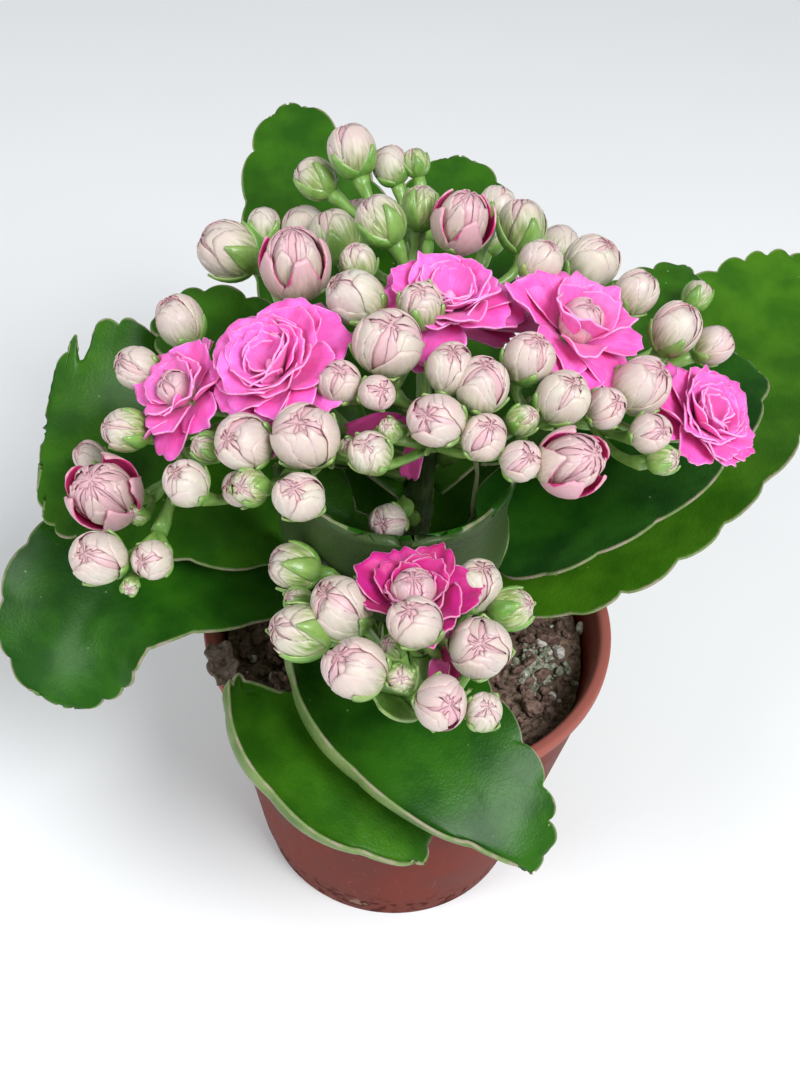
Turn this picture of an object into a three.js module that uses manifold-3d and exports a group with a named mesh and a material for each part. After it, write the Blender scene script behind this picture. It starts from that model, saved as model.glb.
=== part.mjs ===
// A double-flowered kalanchoe in its round nursery pot.
// Units are millimetres, +Z is up, -Y is the front, and the origin is the middle of the pot's underside.
// Leaves and flowers are laid out as they are seen from one standpoint in front of the pot: `seenAt` and
// `seenOnDome` turn a point of that view into a place in space, and every size is a real one.
import * as THREE from "three";
import { mergeVertices } from "three/addons/utils/BufferGeometryUtils.js";
import Module from "manifold-3d";

const wasm = await Module();
wasm.setup();

// ---------------------------------------------------------------------------------- driving dimensions
const CLEARANCE = 0.35; // air left between neighbouring pieces

const POT = {
  height: 75,
  rimRadius: 45,
  rimHeight: 3.2,
  rimOverhang: 1.3,
  baseRadius: 32,
  footHeight: 7,
  footStep: 0.7,
  wall: 1.7,
  floor: 2.4,
  drainRadius: 3.2,
  drainRing: 21,
  drains: 4,
  sides: 36,
};
const SOIL = { top: 66, roughness: 1.6, sides: 28 };
const STEM = { foot: 45, top: 131, radius: 3.4, topRadius: 2.5, sides: 8 };
const STALK = { radius: 1.5, sprayRadius: 0.95, pedicelRadius: 0.75, sides: 5 };
const LEAF = {
  petioleHalfWidth: 2.9,
  petioleStep: 15,
  midThickness: 2.4,
  edgeThickness: 1.1,
  lobesStart: 0.24,
};
const PETAL = { thickness: 0.7 };

// The standpoint that the layout is seen from: a focal length in view units, and a view 800 wide and 1067 high.
const VIEW = {
  aim: new THREE.Vector3(-3.35, 24.47, 75),
  distance: 326.6,
  elevation: THREE.MathUtils.degToRad(45.17),
  roll: THREE.MathUtils.degToRad(4.79),
  focal: 1400,
  centre: [400, 533.5],
};

const FINISH = {
  pot: { color: 0x9c4a35, roughness: 0.55 },
  soil: { color: 0x3a2a20, roughness: 1 },
  stem: { color: 0x5d8a35, roughness: 0.6 },
  leaf: { color: 0x2f6b1c, roughness: 0.35 },
  head: { color: 0xd9d2b4, roughness: 0.55 },
  bloom: { color: 0xe83fb0, roughness: 0.6 },
};

// ------------------------------------------------------------------------------------------ sight lines
const vec = (x, y, z) => new THREE.Vector3(x, y, z);

const ahead = vec(0, Math.cos(VIEW.elevation), -Math.sin(VIEW.elevation));
const upward = vec(0, Math.sin(VIEW.elevation), Math.cos(VIEW.elevation));
const rightward = vec(1, 0, 0);
const eye = VIEW.aim.clone().addScaledVector(ahead, -VIEW.distance);

// The direction from the eye through a point of the view.
function sightLine([across, down]) {
  const x = across - VIEW.centre[0];
  const y = down - VIEW.centre[1];
  const level = Math.cos(VIEW.roll) * x + Math.sin(VIEW.roll) * y;
  const drop = Math.cos(VIEW.roll) * y - Math.sin(VIEW.roll) * x;
  return ahead
    .clone()
    .multiplyScalar(VIEW.focal)
    .addScaledVector(rightward, level)
    .addScaledVector(upward, -drop)
    .normalize();
}

// The place at that height which is seen at that point of the view.
function seenAt(spot, height) {
  const line = sightLine(spot);
  return eye.clone().addScaledVector(line, (height - eye.z) / line.z);
}

// The place where the sight line meets a dome, a paraboloid that falls by `drop` at its two radii.
function seenOnDome(spot, dome, rise) {
  const line = sightLine(spot);
  const from = eye.clone().sub(dome.top);
  const kx = dome.drop / dome.radii[0] ** 2;
  const ky = dome.drop / dome.radii[1] ** 2;
  const a = kx * line.x ** 2 + ky * line.y ** 2;
  const b = 2 * (kx * from.x * line.x + ky * from.y * line.y) + line.z;
  const c = kx * from.x ** 2 + ky * from.y ** 2 + from.z - rise;
  const root = Math.sqrt(Math.max(b * b - 4 * a * c, 0));
  return eye.clone().addScaledVector(line, (-b - root) / (2 * a));
}

// --------------------------------------------------------------------------------------- solid building
// A closed three.js geometry as a solid that can be joined and cut.
function solidOf(geometry) {
  const bare = geometry.clone();
  bare.deleteAttribute("normal");
  bare.deleteAttribute("uv");
  const merged = mergeVertices(bare, 1e-4);
  const made = new wasm.Manifold(
    new wasm.Mesh({
      numProp: 3,
      vertProperties: new Float32Array(merged.attributes.position.array),
      triVerts: new Uint32Array(merged.index.array),
    }),
  );
  if (made.volume() < 0) throw new Error("a geometry is inside out");
  return made;
}

function geometryOf(solid) {
  const mesh = solid.getMesh();
  const geometry = new THREE.BufferGeometry();
  geometry.setAttribute("position", new THREE.BufferAttribute(mesh.vertProperties, 3));
  geometry.setIndex(new THREE.BufferAttribute(mesh.triVerts, 1));
  return geometry;
}

function meshOf(name, solid, finish) {
  const geometry = geometryOf(solid).toNonIndexed();
  geometry.computeVertexNormals();
  const mesh = new THREE.Mesh(geometry, new THREE.MeshStandardMaterial({ ...finish, metalness: 0 }));
  mesh.name = name;
  return mesh;
}

const joined = (solids) => wasm.Manifold.union(solids);

// The largest body of a solid: the scraps that a cut leaves are dropped.
function largestBody(solid) {
  return solid.decompose().reduce((most, body) => (body.volume() > most.volume() ? body : most));
}

// A thin closed sheet round a grid of points: grid[row][column] holds a place, a normal and a half thickness.
function sheetSolid(grid) {
  const rows = grid.length;
  const columns = grid[0].length;
  const positions = [];
  for (const side of [1, -1])
    for (const row of grid)
      for (const { place, normal, half } of row)
        positions.push(...place.clone().addScaledVector(normal, side * half).toArray());
  const index = [];
  const at = (r, c, under) => r * columns + c + (under ? rows * columns : 0);
  const quad = (a, b, c, d) => index.push(a, b, c, a, c, d);
  for (let r = 0; r + 1 < rows; r++)
    for (let c = 0; c + 1 < columns; c++) {
      const [a, b, d, e] = [at(r, c), at(r, c + 1), at(r + 1, c + 1), at(r + 1, c)];
      const under = rows * columns;
      index.push(a, b, d, a, d, e);
      index.push(a + under, d + under, b + under, a + under, e + under, d + under);
    }
  const rim = [];
  for (let c = 0; c + 1 < columns; c++) rim.push([0, c, 0, c + 1]);
  for (let r = 0; r + 1 < rows; r++) rim.push([r, columns - 1, r + 1, columns - 1]);
  for (let c = columns - 1; c > 0; c--) rim.push([rows - 1, c, rows - 1, c - 1]);
  for (let r = rows - 1; r > 0; r--) rim.push([r, 0, r - 1, 0]);
  for (const [r0, c0, r1, c1] of rim) quad(at(r1, c1), at(r0, c0), at(r0, c0, true), at(r1, c1, true));
  const geometry = new THREE.BufferGeometry();
  geometry.setAttribute("position", new THREE.Float32BufferAttribute(positions, 3));
  geometry.setIndex(index);
  return solidOf(geometry);
}

// A stalk of one thickness along a curve.
function stalkSolid(curve, radius, steps) {
  const section = new THREE.Shape();
  for (let k = 0; k < STALK.sides; k++) {
    const angle = (2 * Math.PI * k) / STALK.sides;
    const point = [radius * Math.cos(angle), radius * Math.sin(angle)];
    if (k === 0) section.moveTo(...point);
    else section.lineTo(...point);
  }
  section.closePath();
  return solidOf(new THREE.ExtrudeGeometry(section, { steps, extrudePath: curve, bevelEnabled: false }));
}

// A revolved profile of [radius, height] pairs, standing on +Z.
function turned(profile, sides) {
  const points = profile.map(([radius, height]) => new THREE.Vector2(radius, height));
  return new THREE.LatheGeometry(points, sides).rotateX(Math.PI / 2);
}

// Turns and moves a geometry that stands on +Z so that it stands on `foot` along `axis`.
function stood(geometry, foot, axis) {
  const turn = new THREE.Quaternion().setFromUnitVectors(vec(0, 0, 1), axis);
  return geometry.applyQuaternion(turn).translate(foot.x, foot.y, foot.z);
}

// ----------------------------------------------------------------------------------------- pot and soil
// The wall's outer radius at a height above the foot.
function potRadius(height) {
  const under = POT.rimRadius - POT.rimOverhang;
  return THREE.MathUtils.lerp(POT.baseRadius, under, height / (POT.height - POT.rimHeight));
}

function pot() {
  const { height, rimRadius, rimHeight, footHeight, footStep, wall, floor } = POT;
  const lipFoot = height - rimHeight;
  const profile = [
    [0, 0],
    [potRadius(0) - footStep - 0.8, 0],
    [potRadius(0) - footStep, 0.8],
    [potRadius(footHeight) - footStep, footHeight],
    [potRadius(footHeight), footHeight + footStep],
    [potRadius(lipFoot), lipFoot],
    [rimRadius, lipFoot + 0.3],
    [rimRadius, height - 0.8],
    [rimRadius - 0.8, height],
    [rimRadius - 2.2, height],
    [potRadius(lipFoot) - wall, height - 1.2],
    [potRadius(footHeight) - footStep - wall, footHeight],
    [potRadius(floor) - footStep - wall, floor],
    [0, floor],
  ];
  let body = solidOf(turned(profile, POT.sides));
  for (let k = 0; k < POT.drains; k++) {
    const angle = (2 * Math.PI * (k + 0.5)) / POT.drains;
    const drain = new THREE.CylinderGeometry(POT.drainRadius, POT.drainRadius, 4 * floor, 10)
      .rotateX(Math.PI / 2)
      .translate(POT.drainRing * Math.cos(angle), POT.drainRing * Math.sin(angle), floor);
    body = body.subtract(solidOf(drain));
  }
  return body;
}

function soil() {
  const bottom = POT.floor + CLEARANCE;
  const fit = (height) => potRadius(height) - POT.footStep - POT.wall - 2 * CLEARANCE;
  const top = SOIL.top;
  const profile = [
    [0, bottom],
    [fit(bottom) - 1.5, bottom],
    [fit(POT.footHeight), POT.footHeight + 1],
    [fit(top), top - 1],
    [0.9 * fit(top), top],
    [0.68 * fit(top), top + 0.6],
    [0.45 * fit(top), top],
    [0.22 * fit(top), top + 0.9],
    [0, top + 0.6],
  ];
  const geometry = turned(profile, SOIL.sides);
  const position = geometry.attributes.position;
  for (let i = 0; i < position.count; i++) {
    const [x, y, z] = [position.getX(i), position.getY(i), position.getZ(i)];
    const crumbs = Math.sin(0.55 * x + 1.3 * Math.sin(0.31 * y)) * Math.cos(0.47 * y - 0.9 * Math.sin(0.4 * x));
    if (z > top - 0.5) position.setZ(i, z + SOIL.roughness * crumbs);
  }
  const hole = new THREE.CylinderGeometry(STEM.radius + CLEARANCE, STEM.radius + CLEARANCE, top, STEM.sides);
  hole.rotateX(Math.PI / 2).translate(0, 0, STEM.foot - CLEARANCE + top / 2);
  return solidOf(geometry).subtract(solidOf(hole));
}

function stemRadius(height) {
  return THREE.MathUtils.mapLinear(height, STEM.foot, STEM.top, STEM.radius, STEM.topRadius);
}

function mainStem() {
  const profile = [
    [0, STEM.foot],
    [STEM.radius, STEM.foot],
    [stemRadius(SOIL.top + 6), SOIL.top + 6],
    [stemRadius(SOIL.top + 8) + 0.5, SOIL.top + 8],
    [stemRadius(SOIL.top + 10), SOIL.top + 10],
    [stemRadius(STEM.top - 26), STEM.top - 26],
    [stemRadius(STEM.top - 24) + 0.5, STEM.top - 24],
    [stemRadius(STEM.top - 22), STEM.top - 22],
    [STEM.topRadius, STEM.top],
    [0.5 * STEM.topRadius, STEM.top + 1.2],
    [0, STEM.top + 1.2],
  ];
  return solidOf(turned(profile, STEM.sides));
}

// A place just off the stem's skin, at that height, on the side that faces `towards`.
function onStem(height, towards, gap) {
  const out = vec(towards.x, towards.y, 0).normalize();
  const reach = stemRadius(height) + gap;
  return vec(out.x * reach, out.y * reach, height);
}

// ----------------------------------------------------------------------------------------------- leaves
// A side of a leaf: where it is widest, how full it is before and after that, and its share of the width.
function margin(belly, base = 1, tip = 1, share = 1) {
  return { belly, base, tip, share };
}

// One side (1 or -1) of the flat leaf's outline: `t` runs from the end of the petiole to the tip.
function leafOutline(leaf, side, t) {
  const { belly, base, tip, share } = side > 0 ? leaf.left : leaf.right;
  const length = leaf.rib.getLength();
  const widest = leaf.petiole + (length - leaf.petiole) * belly;
  const halfWidth = leaf.halfWidth * share;
  const angle = Math.PI * (1 - t);
  const nearStem = angle > Math.PI / 2;
  const reach = nearStem ? widest - leaf.petiole : length - widest;
  const x = widest + reach * Math.cos(angle);
  const y = halfWidth * Math.sin(angle) ** (nearStem ? base : tip);
  const out = new THREE.Vector2(halfWidth * Math.cos(angle), reach * Math.sin(angle)).normalize();
  const along = (t - LEAF.lobesStart) / (1 - LEAF.lobesStart);
  const lobe = along > 0 ? Math.abs(Math.sin(Math.PI * leaf.lobes * along)) ** 0.7 - 0.6 : -0.3;
  return { x: x + out.x * lobe * leaf.lobeDepth, y: Math.max(y + out.y * lobe * leaf.lobeDepth, 0) };
}

// The place of a point of the flat leaf once the rib is bent and the margins are curled.
function leafPlace(leaf, x, y) {
  const share = x / leaf.rib.getLength();
  const within = THREE.MathUtils.clamp(share, 0, 1);
  const along = leaf.rib.getTangent(within);
  const facing = leaf.face.clone().lerp(leaf.tipFace, within);
  // the rows across the blade turn less than the rib does, so they never fold over one another
  const heading = leaf.rib.getTangent(0.1 + 0.8 * within);
  const side = heading.cross(facing).normalize();
  const normal = side.clone().cross(along).normalize();
  const turn = (leaf.curl * y) / leaf.halfWidth;
  const bow = leaf.halfWidth / leaf.curl;
  const wave = leaf.wave * Math.sin(2 * Math.PI * 1.4 * share + (y > 0 ? 0 : 2)) * (y / leaf.halfWidth) ** 2;
  return leaf.rib
    .getPoint(within)
    .addScaledVector(along, (share - within) * leaf.rib.getLength())
    .addScaledVector(side, bow * Math.sin(turn))
    .addScaledVector(normal, bow * (1 - Math.cos(turn)) + wave);
}

function leafNormal(leaf, x, y) {
  const step = 0.5;
  const alongX = leafPlace(leaf, x + step, y).sub(leafPlace(leaf, x - step, y));
  const alongY = leafPlace(leaf, x, y + step).sub(leafPlace(leaf, x, y - step));
  return alongY.cross(alongX).normalize();
}

// `swell` thickens the blade on every side, to cut its clearance out of a neighbour.
function leafSolid(leaf, swell = 0) {
  const turns = Math.round(2 * leaf.lobes);
  const stations = [0.05, 0.12];
  for (let k = 0; k <= turns; k++) {
    const t = LEAF.lobesStart + ((1 - LEAF.lobesStart) * k) / turns;
    stations.push(Math.min(t, 0.975));
  }
  const length = leaf.rib.getLength();
  const neck = LEAF.petioleHalfWidth;
  const rows = [];
  const joints = Math.ceil(leaf.petiole / LEAF.petioleStep);
  for (let k = 0; k <= joints; k++) {
    const end = { x: k > 0 ? (leaf.petiole * k) / joints : -swell, y: neck + swell };
    rows.push({ left: end, right: end });
  }
  for (const t of stations) {
    const [left, right] = [1, -1].map((side) => {
      const { x, y } = leafOutline(leaf, side, t);
      return { x, y: Math.max(y, x < length / 2 ? neck : 1.5) + swell };
    });
    rows.push({ left, right });
  }
  const columns = [-1, -0.4, 0.4, 1];
  const grid = rows.map(({ left, right }) =>
    columns.map((u) => {
      const edge = u > 0 ? left : right;
      const x = THREE.MathUtils.lerp((left.x + right.x) / 2, edge.x, Math.abs(u));
      const y = u * edge.y;
      const thickness = THREE.MathUtils.lerp(LEAF.midThickness, LEAF.edgeThickness, u * u);
      return {
        place: leafPlace(leaf, x, y),
        normal: leafNormal(leaf, x, y),
        half: thickness / 2 + swell,
      };
    }),
  );
  return sheetSolid(grid);
}

// A leaf's rib is a cubic curve: it leaves the stem at `from`, and its other three points are given.
function leaf(name, from, elbow, bend, tip, options) {
  const root = onStem(from, elbow, 2 * CLEARANCE);
  return {
    name,
    rib: new THREE.CubicBezierCurve3(root, elbow, bend, tip),
    halfWidth: 20,
    petiole: 9,
    left: margin(0.58),
    right: options.left ?? margin(0.58),
    lobes: 5.5,
    lobeDepth: 1.8,
    curl: 0.5,
    wave: 0.8,
    face: vec(0, 0, 1),
    tipFace: options.tipFace ?? options.face ?? vec(0, 0, 1),
    ...options,
  };
}

const LEAVES = [
  // the front pair, hanging over the rim, and the cupped leaf above them
  leaf("leaf_front_low", 71, seenAt([330, 615], 83), seenAt([226, 745], 90), seenAt([422, 862], 69), {
    halfWidth: 20,
    petiole: 42,
    left: margin(0.12, 0.6, 2.0, 1.1),
    right: margin(0.4),
    face: vec(0.1, -0.1, 1),
  }),
  leaf("leaf_front_high", 79, seenAt([390, 625], 91), seenAt([415, 745], 95), seenAt([530, 872], 74), {
    halfWidth: 25,
    petiole: 24,
    curl: 0.35,
    left: margin(0.1, 0.6, 2.8, 1.2),
    right: margin(0.62, 0.6, 0.75, 0.59),
    face: vec(0, -0.3, 1),
  }),
  leaf("leaf_front_cup", 95, vec(-2, -24, 88), vec(-4, -27, 106), seenAt([406, 541], 130), {
    halfWidth: 34,
    curl: 1.5,
    left: margin(0.82, 0.8, 0.3),
    face: vec(0, 0.2, 1),
    tipFace: vec(-0.14, 1, 0),
  }),
  // the left side
  leaf("leaf_left_low", 83, seenAt([240, 588], 98), seenAt([88, 515], 106), seenAt([62, 705], 81), {
    halfWidth: 19,
    petiole: 16,
    left: margin(0.66, 1, 0.8, 1.12),
    right: margin(0.66, 1, 1, 0.92),
    lobes: 6.5,
    lobeDepth: 1.1,
    face: vec(0.1, -0.2, 1),
  }),
  leaf("leaf_left_high", 97, seenAt([270, 490], 106), seenAt([150, 440], 115), seenAt([46, 432], 118), {
    halfWidth: 25,
    left: margin(0.78, 1, 0.6),
    right: margin(0.75, 1, 0.55),
    lobes: 6.5,
    face: vec(0.3, -0.5, 1),
  }),
  leaf("leaf_left_top", 112, seenAt([320, 420], 126), seenAt([240, 360], 132), seenAt([165, 304], 136), {
    halfWidth: 13,
    face: vec(0.3, -0.5, 1),
  }),
  // the right side
  leaf("leaf_right_low", 86, seenAt([610, 548], 98), seenAt([682, 380], 107), seenAt([843, 292], 115), {
    halfWidth: 25,
    left: margin(0.42, 0.7, 1.05, 1.1),
    right: margin(0.72, 0.8, 0.42, 0.93),
    lobes: 9.5,
    lobeDepth: 2.4,
    face: vec(-0.3, -0.5, 1),
  }),
  leaf("leaf_right_high", 94, seenAt([595, 510], 108), seenAt([675, 424], 118), seenAt([742, 360], 124), {
    halfWidth: 17,
    left: margin(0.34, 0.35, 0.9, 1.2),
    right: margin(0.5, 0.4, 0.6),
    face: vec(-0.4, -0.3, 1),
  }),
  leaf("leaf_right_top", 112, seenAt([540, 400], 122), seenAt([625, 330], 126), seenAt([686, 268], 130), {
    halfWidth: 10,
    left: margin(0.4, 0.7, 0.9, 1.3),
    right: margin(0.58),
    face: vec(-0.3, -0.5, 1),
  }),
  // the back
  leaf("leaf_back_left", 106, seenAt([370, 380], 111), seenAt([320, 270], 120), seenAt([288, 106], 143), {
    halfWidth: 18,
    face: vec(0, -0.8, 1),
  }),
  leaf("leaf_back_right", 99, seenAt([430, 380], 107), seenAt([455, 260], 114), seenAt([460, 158], 129), {
    halfWidth: 17,
    face: vec(0, -0.5, 1),
  }),
  leaf("leaf_back_low_left", 84, seenAt([360, 450], 94), seenAt([330, 410], 98), seenAt([292, 380], 92), {
    halfWidth: 18,
  }),
  leaf("leaf_back_low_right", 78, seenAt([480, 450], 88), seenAt([530, 410], 94), seenAt([570, 380], 88), {
    halfWidth: 18,
  }),
];

// ---------------------------------------------------------------------------------- buds, blooms, cymes
// The flowers stand on domes; each bud points away from its dome's focus.
const MAIN_DOME = { top: vec(1, 4, 163), radii: [62, 58], drop: 22, focus: vec(1, 4, 92) };
const FRONT_DOME = { top: vec(5, -50, 127), radii: [34, 34], drop: 8, focus: vec(4, -38, 88) };
const LEFT_DOME = { top: vec(-56, -28, 130), radii: [26, 26], drop: 5, focus: vec(-44, -12, 98) };

// A flower at a point of the view. `rise` lifts it off its dome; `lean` tips it to the right and upwards.
const bud = (across, down, radius, rise = 0, lean = [0, 0]) => ({ spot: [across, down], radius, rise, lean });
const halfOpen = (...place) => ({ ...bud(...place), kind: "half open" });
const bloom = (name, ...place) => ({ ...bud(...place), kind: "open", name });

// Buds round the far side of the main head, which is not seen: they stand on the dome at given bearings.
function farBuds(bearings, radius) {
  return bearings.map((bearing, k) => {
    const angle = THREE.MathUtils.degToRad(bearing);
    const share = 0.94 + 0.05 * Math.sin(2.4 * bearing);
    const size = radius + 0.8 * Math.cos(1.7 * bearing);
    return { bearing: angle, share, radius: size, rise: -6 + 1.5 * Math.sin(bearing), lean: [0, 0], order: k };
  });
}

const CYMES = [
  {
    name: "cyme_back",
    from: 124,
    dome: MAIN_DOME,
    sprays: [
      [bud(352, 150, 5.2, -2), bud(390, 165, 3.9, -4), bud(416, 162, 2.8, -7), bud(315, 178, 4.3, -4, [-0.9, 0])],
      [bud(335, 235, 5.4, -7), bud(358, 262, 3.5, -4), bud(380, 220, 4.8, 1, [-0.7, 0.4]), bud(421, 207, 4.2)],
      [halfOpen(463, 220, 6.0), bud(497, 205, 4.0, -5), bud(522, 225, 5.2, -2), bud(541, 262, 4.2, -1)],
      farBuds([66, 80, 94, 108, 122], 4.4),
      [bloom("bloom_back", 450, 290, 11.7, 1)],
    ],
  },
  {
    name: "cyme_left",
    from: 121,
    dome: MAIN_DOME,
    sprays: [
      [bud(228, 250, 5.9), bud(264, 225, 3.8, -5), halfOpen(295, 262, 6.7), bud(355, 297, 5.2, 0, [-0.5, -0.3])],
      [bud(180, 320, 5.0, -6), bud(137, 368, 4.2), bud(125, 430, 4.1, -2), bud(207, 447, 2.7, -2)],
      [bud(186, 483, 4.1), bud(250, 487, 3.2, -2), bud(240, 489, 3.2, -7), bud(299, 497, 4.4)],
      [bud(243, 442, 5.1, 1), bud(305, 436, 5.9, 1), bud(350, 448, 1.9, -4)],
      [bloom("bloom_left", 268, 360, 12.2, 1), bloom("bloom_left_outer", 175, 388, 9.6, -1)],
    ],
  },
  {
    name: "cyme_middle",
    from: 128,
    dome: MAIN_DOME,
    sprays: [
      [bud(388, 343, 6.1, 2), bud(421, 305, 4.1, 2), bud(340, 382, 3.8), bud(377, 393, 3.2, 1)],
      [bud(450, 368, 4.4, 1), bud(482, 385, 4.8, 1), bud(436, 420, 4.9, 1)],
      [bud(370, 453, 3.8, -2), bud(390, 430, 2.1, -3), bud(484, 437, 4.1, -1), bud(523, 420, 2.7, -2)],
    ],
  },
  {
    name: "cyme_right",
    from: 122,
    dome: MAIN_DOME,
    sprays: [
      [bud(592, 262, 5.3, -1), bud(636, 292, 4.3), bud(697, 296, 3.3, -3), bud(713, 345, 3.9, 0, [0.6, 0.3])],
      [bud(676, 328, 5.0), bud(642, 385, 5.3), bud(651, 433, 3.7), bud(664, 460, 2.6, -1)],
      [bud(529, 358, 4.6), bud(563, 398, 4.8), bud(606, 408, 3.7, -1)],
      [halfOpen(573, 462, 6.0), bud(521, 461, 3.6, -1)],
      [bloom("bloom_right", 583, 318, 12.6, 1), bloom("bloom_right_outer", 712, 413, 10.4, -2)],
    ],
  },
  {
    name: "cyme_inner",
    from: 108,
    hub: vec(-3, -9, 116),
    elbow: vec(-2, -6, 110),
    dome: { top: vec(-5, -16, 119), radii: [20, 20], drop: 5, focus: vec(-3, 0, 100) },
    sprays: [[bud(388, 522, 3.8)]],
  },
  {
    name: "cyme_left_low",
    from: 118,
    hub: seenAt([185, 458], 132),
    elbow: seenAt([310, 440], 126),
    dome: LEFT_DOME,
    sprays: [
      [halfOpen(103, 493, 6.9, 1), bud(90, 458, 3.4, -5), bud(137, 515, 1.9, -2)],
      [bud(98, 558, 5.1), bud(152, 560, 3.7), bud(130, 587, 1.6, -2)],
    ],
  },
  {
    name: "cyme_front",
    from: 88,
    hub: vec(5, -52, 106),
    elbow: vec(2, -34, 91),
    dome: FRONT_DOME,
    sprays: [
      [bud(293, 567, 4.6, 0, [-0.8, 0]), bud(341, 607, 5.7, 1), bud(300, 632, 5.3, -1, [-0.5, 0]), bud(298, 600, 2.5, -4)],
      [bud(355, 668, 5.6), bud(401, 678, 2.6, -2), bud(392, 648, 2.2, -2)],
      [bud(415, 622, 4.7, 6), bud(477, 585, 4.8), bud(512, 609, 3.8, -1, [0.8, 0])],
      [bud(480, 648, 5.6), bud(441, 703, 4.7), bud(484, 712, 3.3)],
      [bloom("bloom_front", 414, 595, 8.8, 2)],
    ],
  },
];

// Where a flower stands: its middle, the way it points, and the foot where its stalk ends.
function standOf(flower, dome) {
  let centre;
  if (flower.spot) {
    centre = seenOnDome(flower.spot, dome, flower.rise);
  } else {
    const x = dome.radii[0] * flower.share * Math.cos(flower.bearing);
    const y = dome.radii[1] * flower.share * Math.sin(flower.bearing);
    centre = dome.top.clone().add(vec(x, y, flower.rise - dome.drop * flower.share ** 2));
  }
  const axis = centre.clone().sub(dome.focus).normalize();
  axis.addScaledVector(rightward, flower.lean[0]).addScaledVector(upward, flower.lean[1]).normalize();
  const depth = flower.kind === "open" ? 0.45 * flower.radius : 1.06 * flower.radius;
  return { centre, axis, foot: centre.clone().addScaledVector(axis, -depth) };
}

// A closed bud on its stalk: a ball of folded petals that comes to a blunt point, in a crown of sepals.
function budSolid(stand, knot, radius, swell) {
  const size = radius + swell;
  const large = radius > 5;
  const stalk = STALK.pedicelRadius + swell;
  const rings = [
    [1.2 * stalk, 0],
    [0.94 * size, 0.72 * radius],
    [1.0 * size, 1.2 * radius],
    [0.6 * size, 1.9 * radius + swell],
  ];
  if (!large) rings.splice(1, 1);
  const sides = large ? 8 : 6;
  const profile = [[0, -1], [stalk, -1], ...rings, [0, 2.12 * radius + swell]];
  const geometry = turned(profile, sides);
  const position = geometry.attributes.position;
  for (let spoke = 0; spoke <= sides; spoke += 2) {
    const shoulder = spoke * profile.length + 3;
    position.setX(shoulder, position.getX(shoulder) * 1.07);
    position.setY(shoulder, position.getY(shoulder) * 1.07);
    position.setZ(shoulder, position.getZ(shoulder) + 0.22 * radius);
  }
  stood(geometry, stand.foot, stand.axis);
  // the lower end of the stalk goes over to the knot that it grows from
  const shift = knot.clone().sub(stand.foot).addScaledVector(stand.axis, 1);
  for (let spoke = 0; spoke <= sides; spoke++)
    for (const ring of [0, 1]) {
      const i = spoke * profile.length + ring;
      const moved = vec(position.getX(i), position.getY(i), position.getZ(i)).add(shift);
      position.setXYZ(i, moved.x, moved.y, moved.z);
    }
  return solidOf(geometry);
}

// A solid through rings of places, closed by a point at either end. Every ring has the same bearings' count.
function loftSolid(top, rings, bottom) {
  const columns = rings[0].length;
  const positions = [top, ...rings.flat(), bottom].flatMap((place) => place.toArray());
  const at = (ring, k) => 1 + ring * columns + (k % columns);
  const last = 1 + rings.length * columns;
  const index = [];
  for (let k = 0; k < columns; k++) {
    index.push(0, at(0, k), at(0, k + 1));
    for (let ring = 0; ring + 1 < rings.length; ring++) {
      const [a, b, c, d] = [at(ring, k), at(ring + 1, k), at(ring + 1, k + 1), at(ring, k + 1)];
      index.push(a, b, c, a, c, d);
    }
    index.push(last, at(rings.length - 1, k + 1), at(rings.length - 1, k));
  }
  const geometry = new THREE.BufferGeometry();
  geometry.setAttribute("position", new THREE.Float32BufferAttribute(positions, 3));
  geometry.setIndex(index);
  return solidOf(geometry);
}

// One ring across a whorl: every third column falls in the notch between two petals.
function whorlRing(stand, whorl, radius, share, lift) {
  const columns = 3 * whorl.petals;
  const turn = new THREE.Quaternion().setFromUnitVectors(vec(0, 0, 1), stand.axis);
  return Array.from({ length: columns }, (_, k) => {
    const shifted = k - whorl.order + 3;
    const part = shifted % 3;
    const petal = Math.floor(shifted / 3) - 1;
    const pitch = whorl.order / 2 + petal + [0, 0.2, 0.8][part];
    const bearing = (2 * Math.PI * pitch) / whorl.petals;
    const uneven = Math.sin(5 * ((petal + whorl.petals) % whorl.petals) + 11 * whorl.tilt);
    const notch = part === 0 && share === 1;
    const tilt = THREE.MathUtils.degToRad(whorl.tilt - share * whorl.bend + (notch ? 0 : 5 * uneven));
    const length = radius * whorl.length * share * (notch ? whorl.notch : 1 + 0.06 * uneven);
    const overlap = radius * share * [0, -0.05, 0.05][part];
    const out = radius * whorl.start + length * Math.cos(tilt) - lift * Math.sin(tilt);
    const up = radius * whorl.lift + length * Math.sin(tilt) + overlap + lift * Math.cos(tilt);
    const place = vec(out * Math.cos(bearing), out * Math.sin(bearing), up);
    return place.applyQuaternion(turn).add(stand.foot);
  });
}

// The whorls of an open flower of radius 1, from the petals that hug its heart to the outermost.
const WHORLS = [
  { petals: 5, order: 2, start: 0.14, length: 0.5, notch: 0.6, tilt: 64, bend: 0, lift: 0.2, shares: [1] },
  { petals: 5, order: 1, start: 0.14, length: 0.72, notch: 0.62, tilt: 44, bend: 0, lift: 0.1, shares: [1] },
  { petals: 5, order: 0, start: 0.14, length: 0.9, notch: 0.62, tilt: 26, bend: 16, lift: 0, shares: [0.5, 1] },
];

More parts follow.
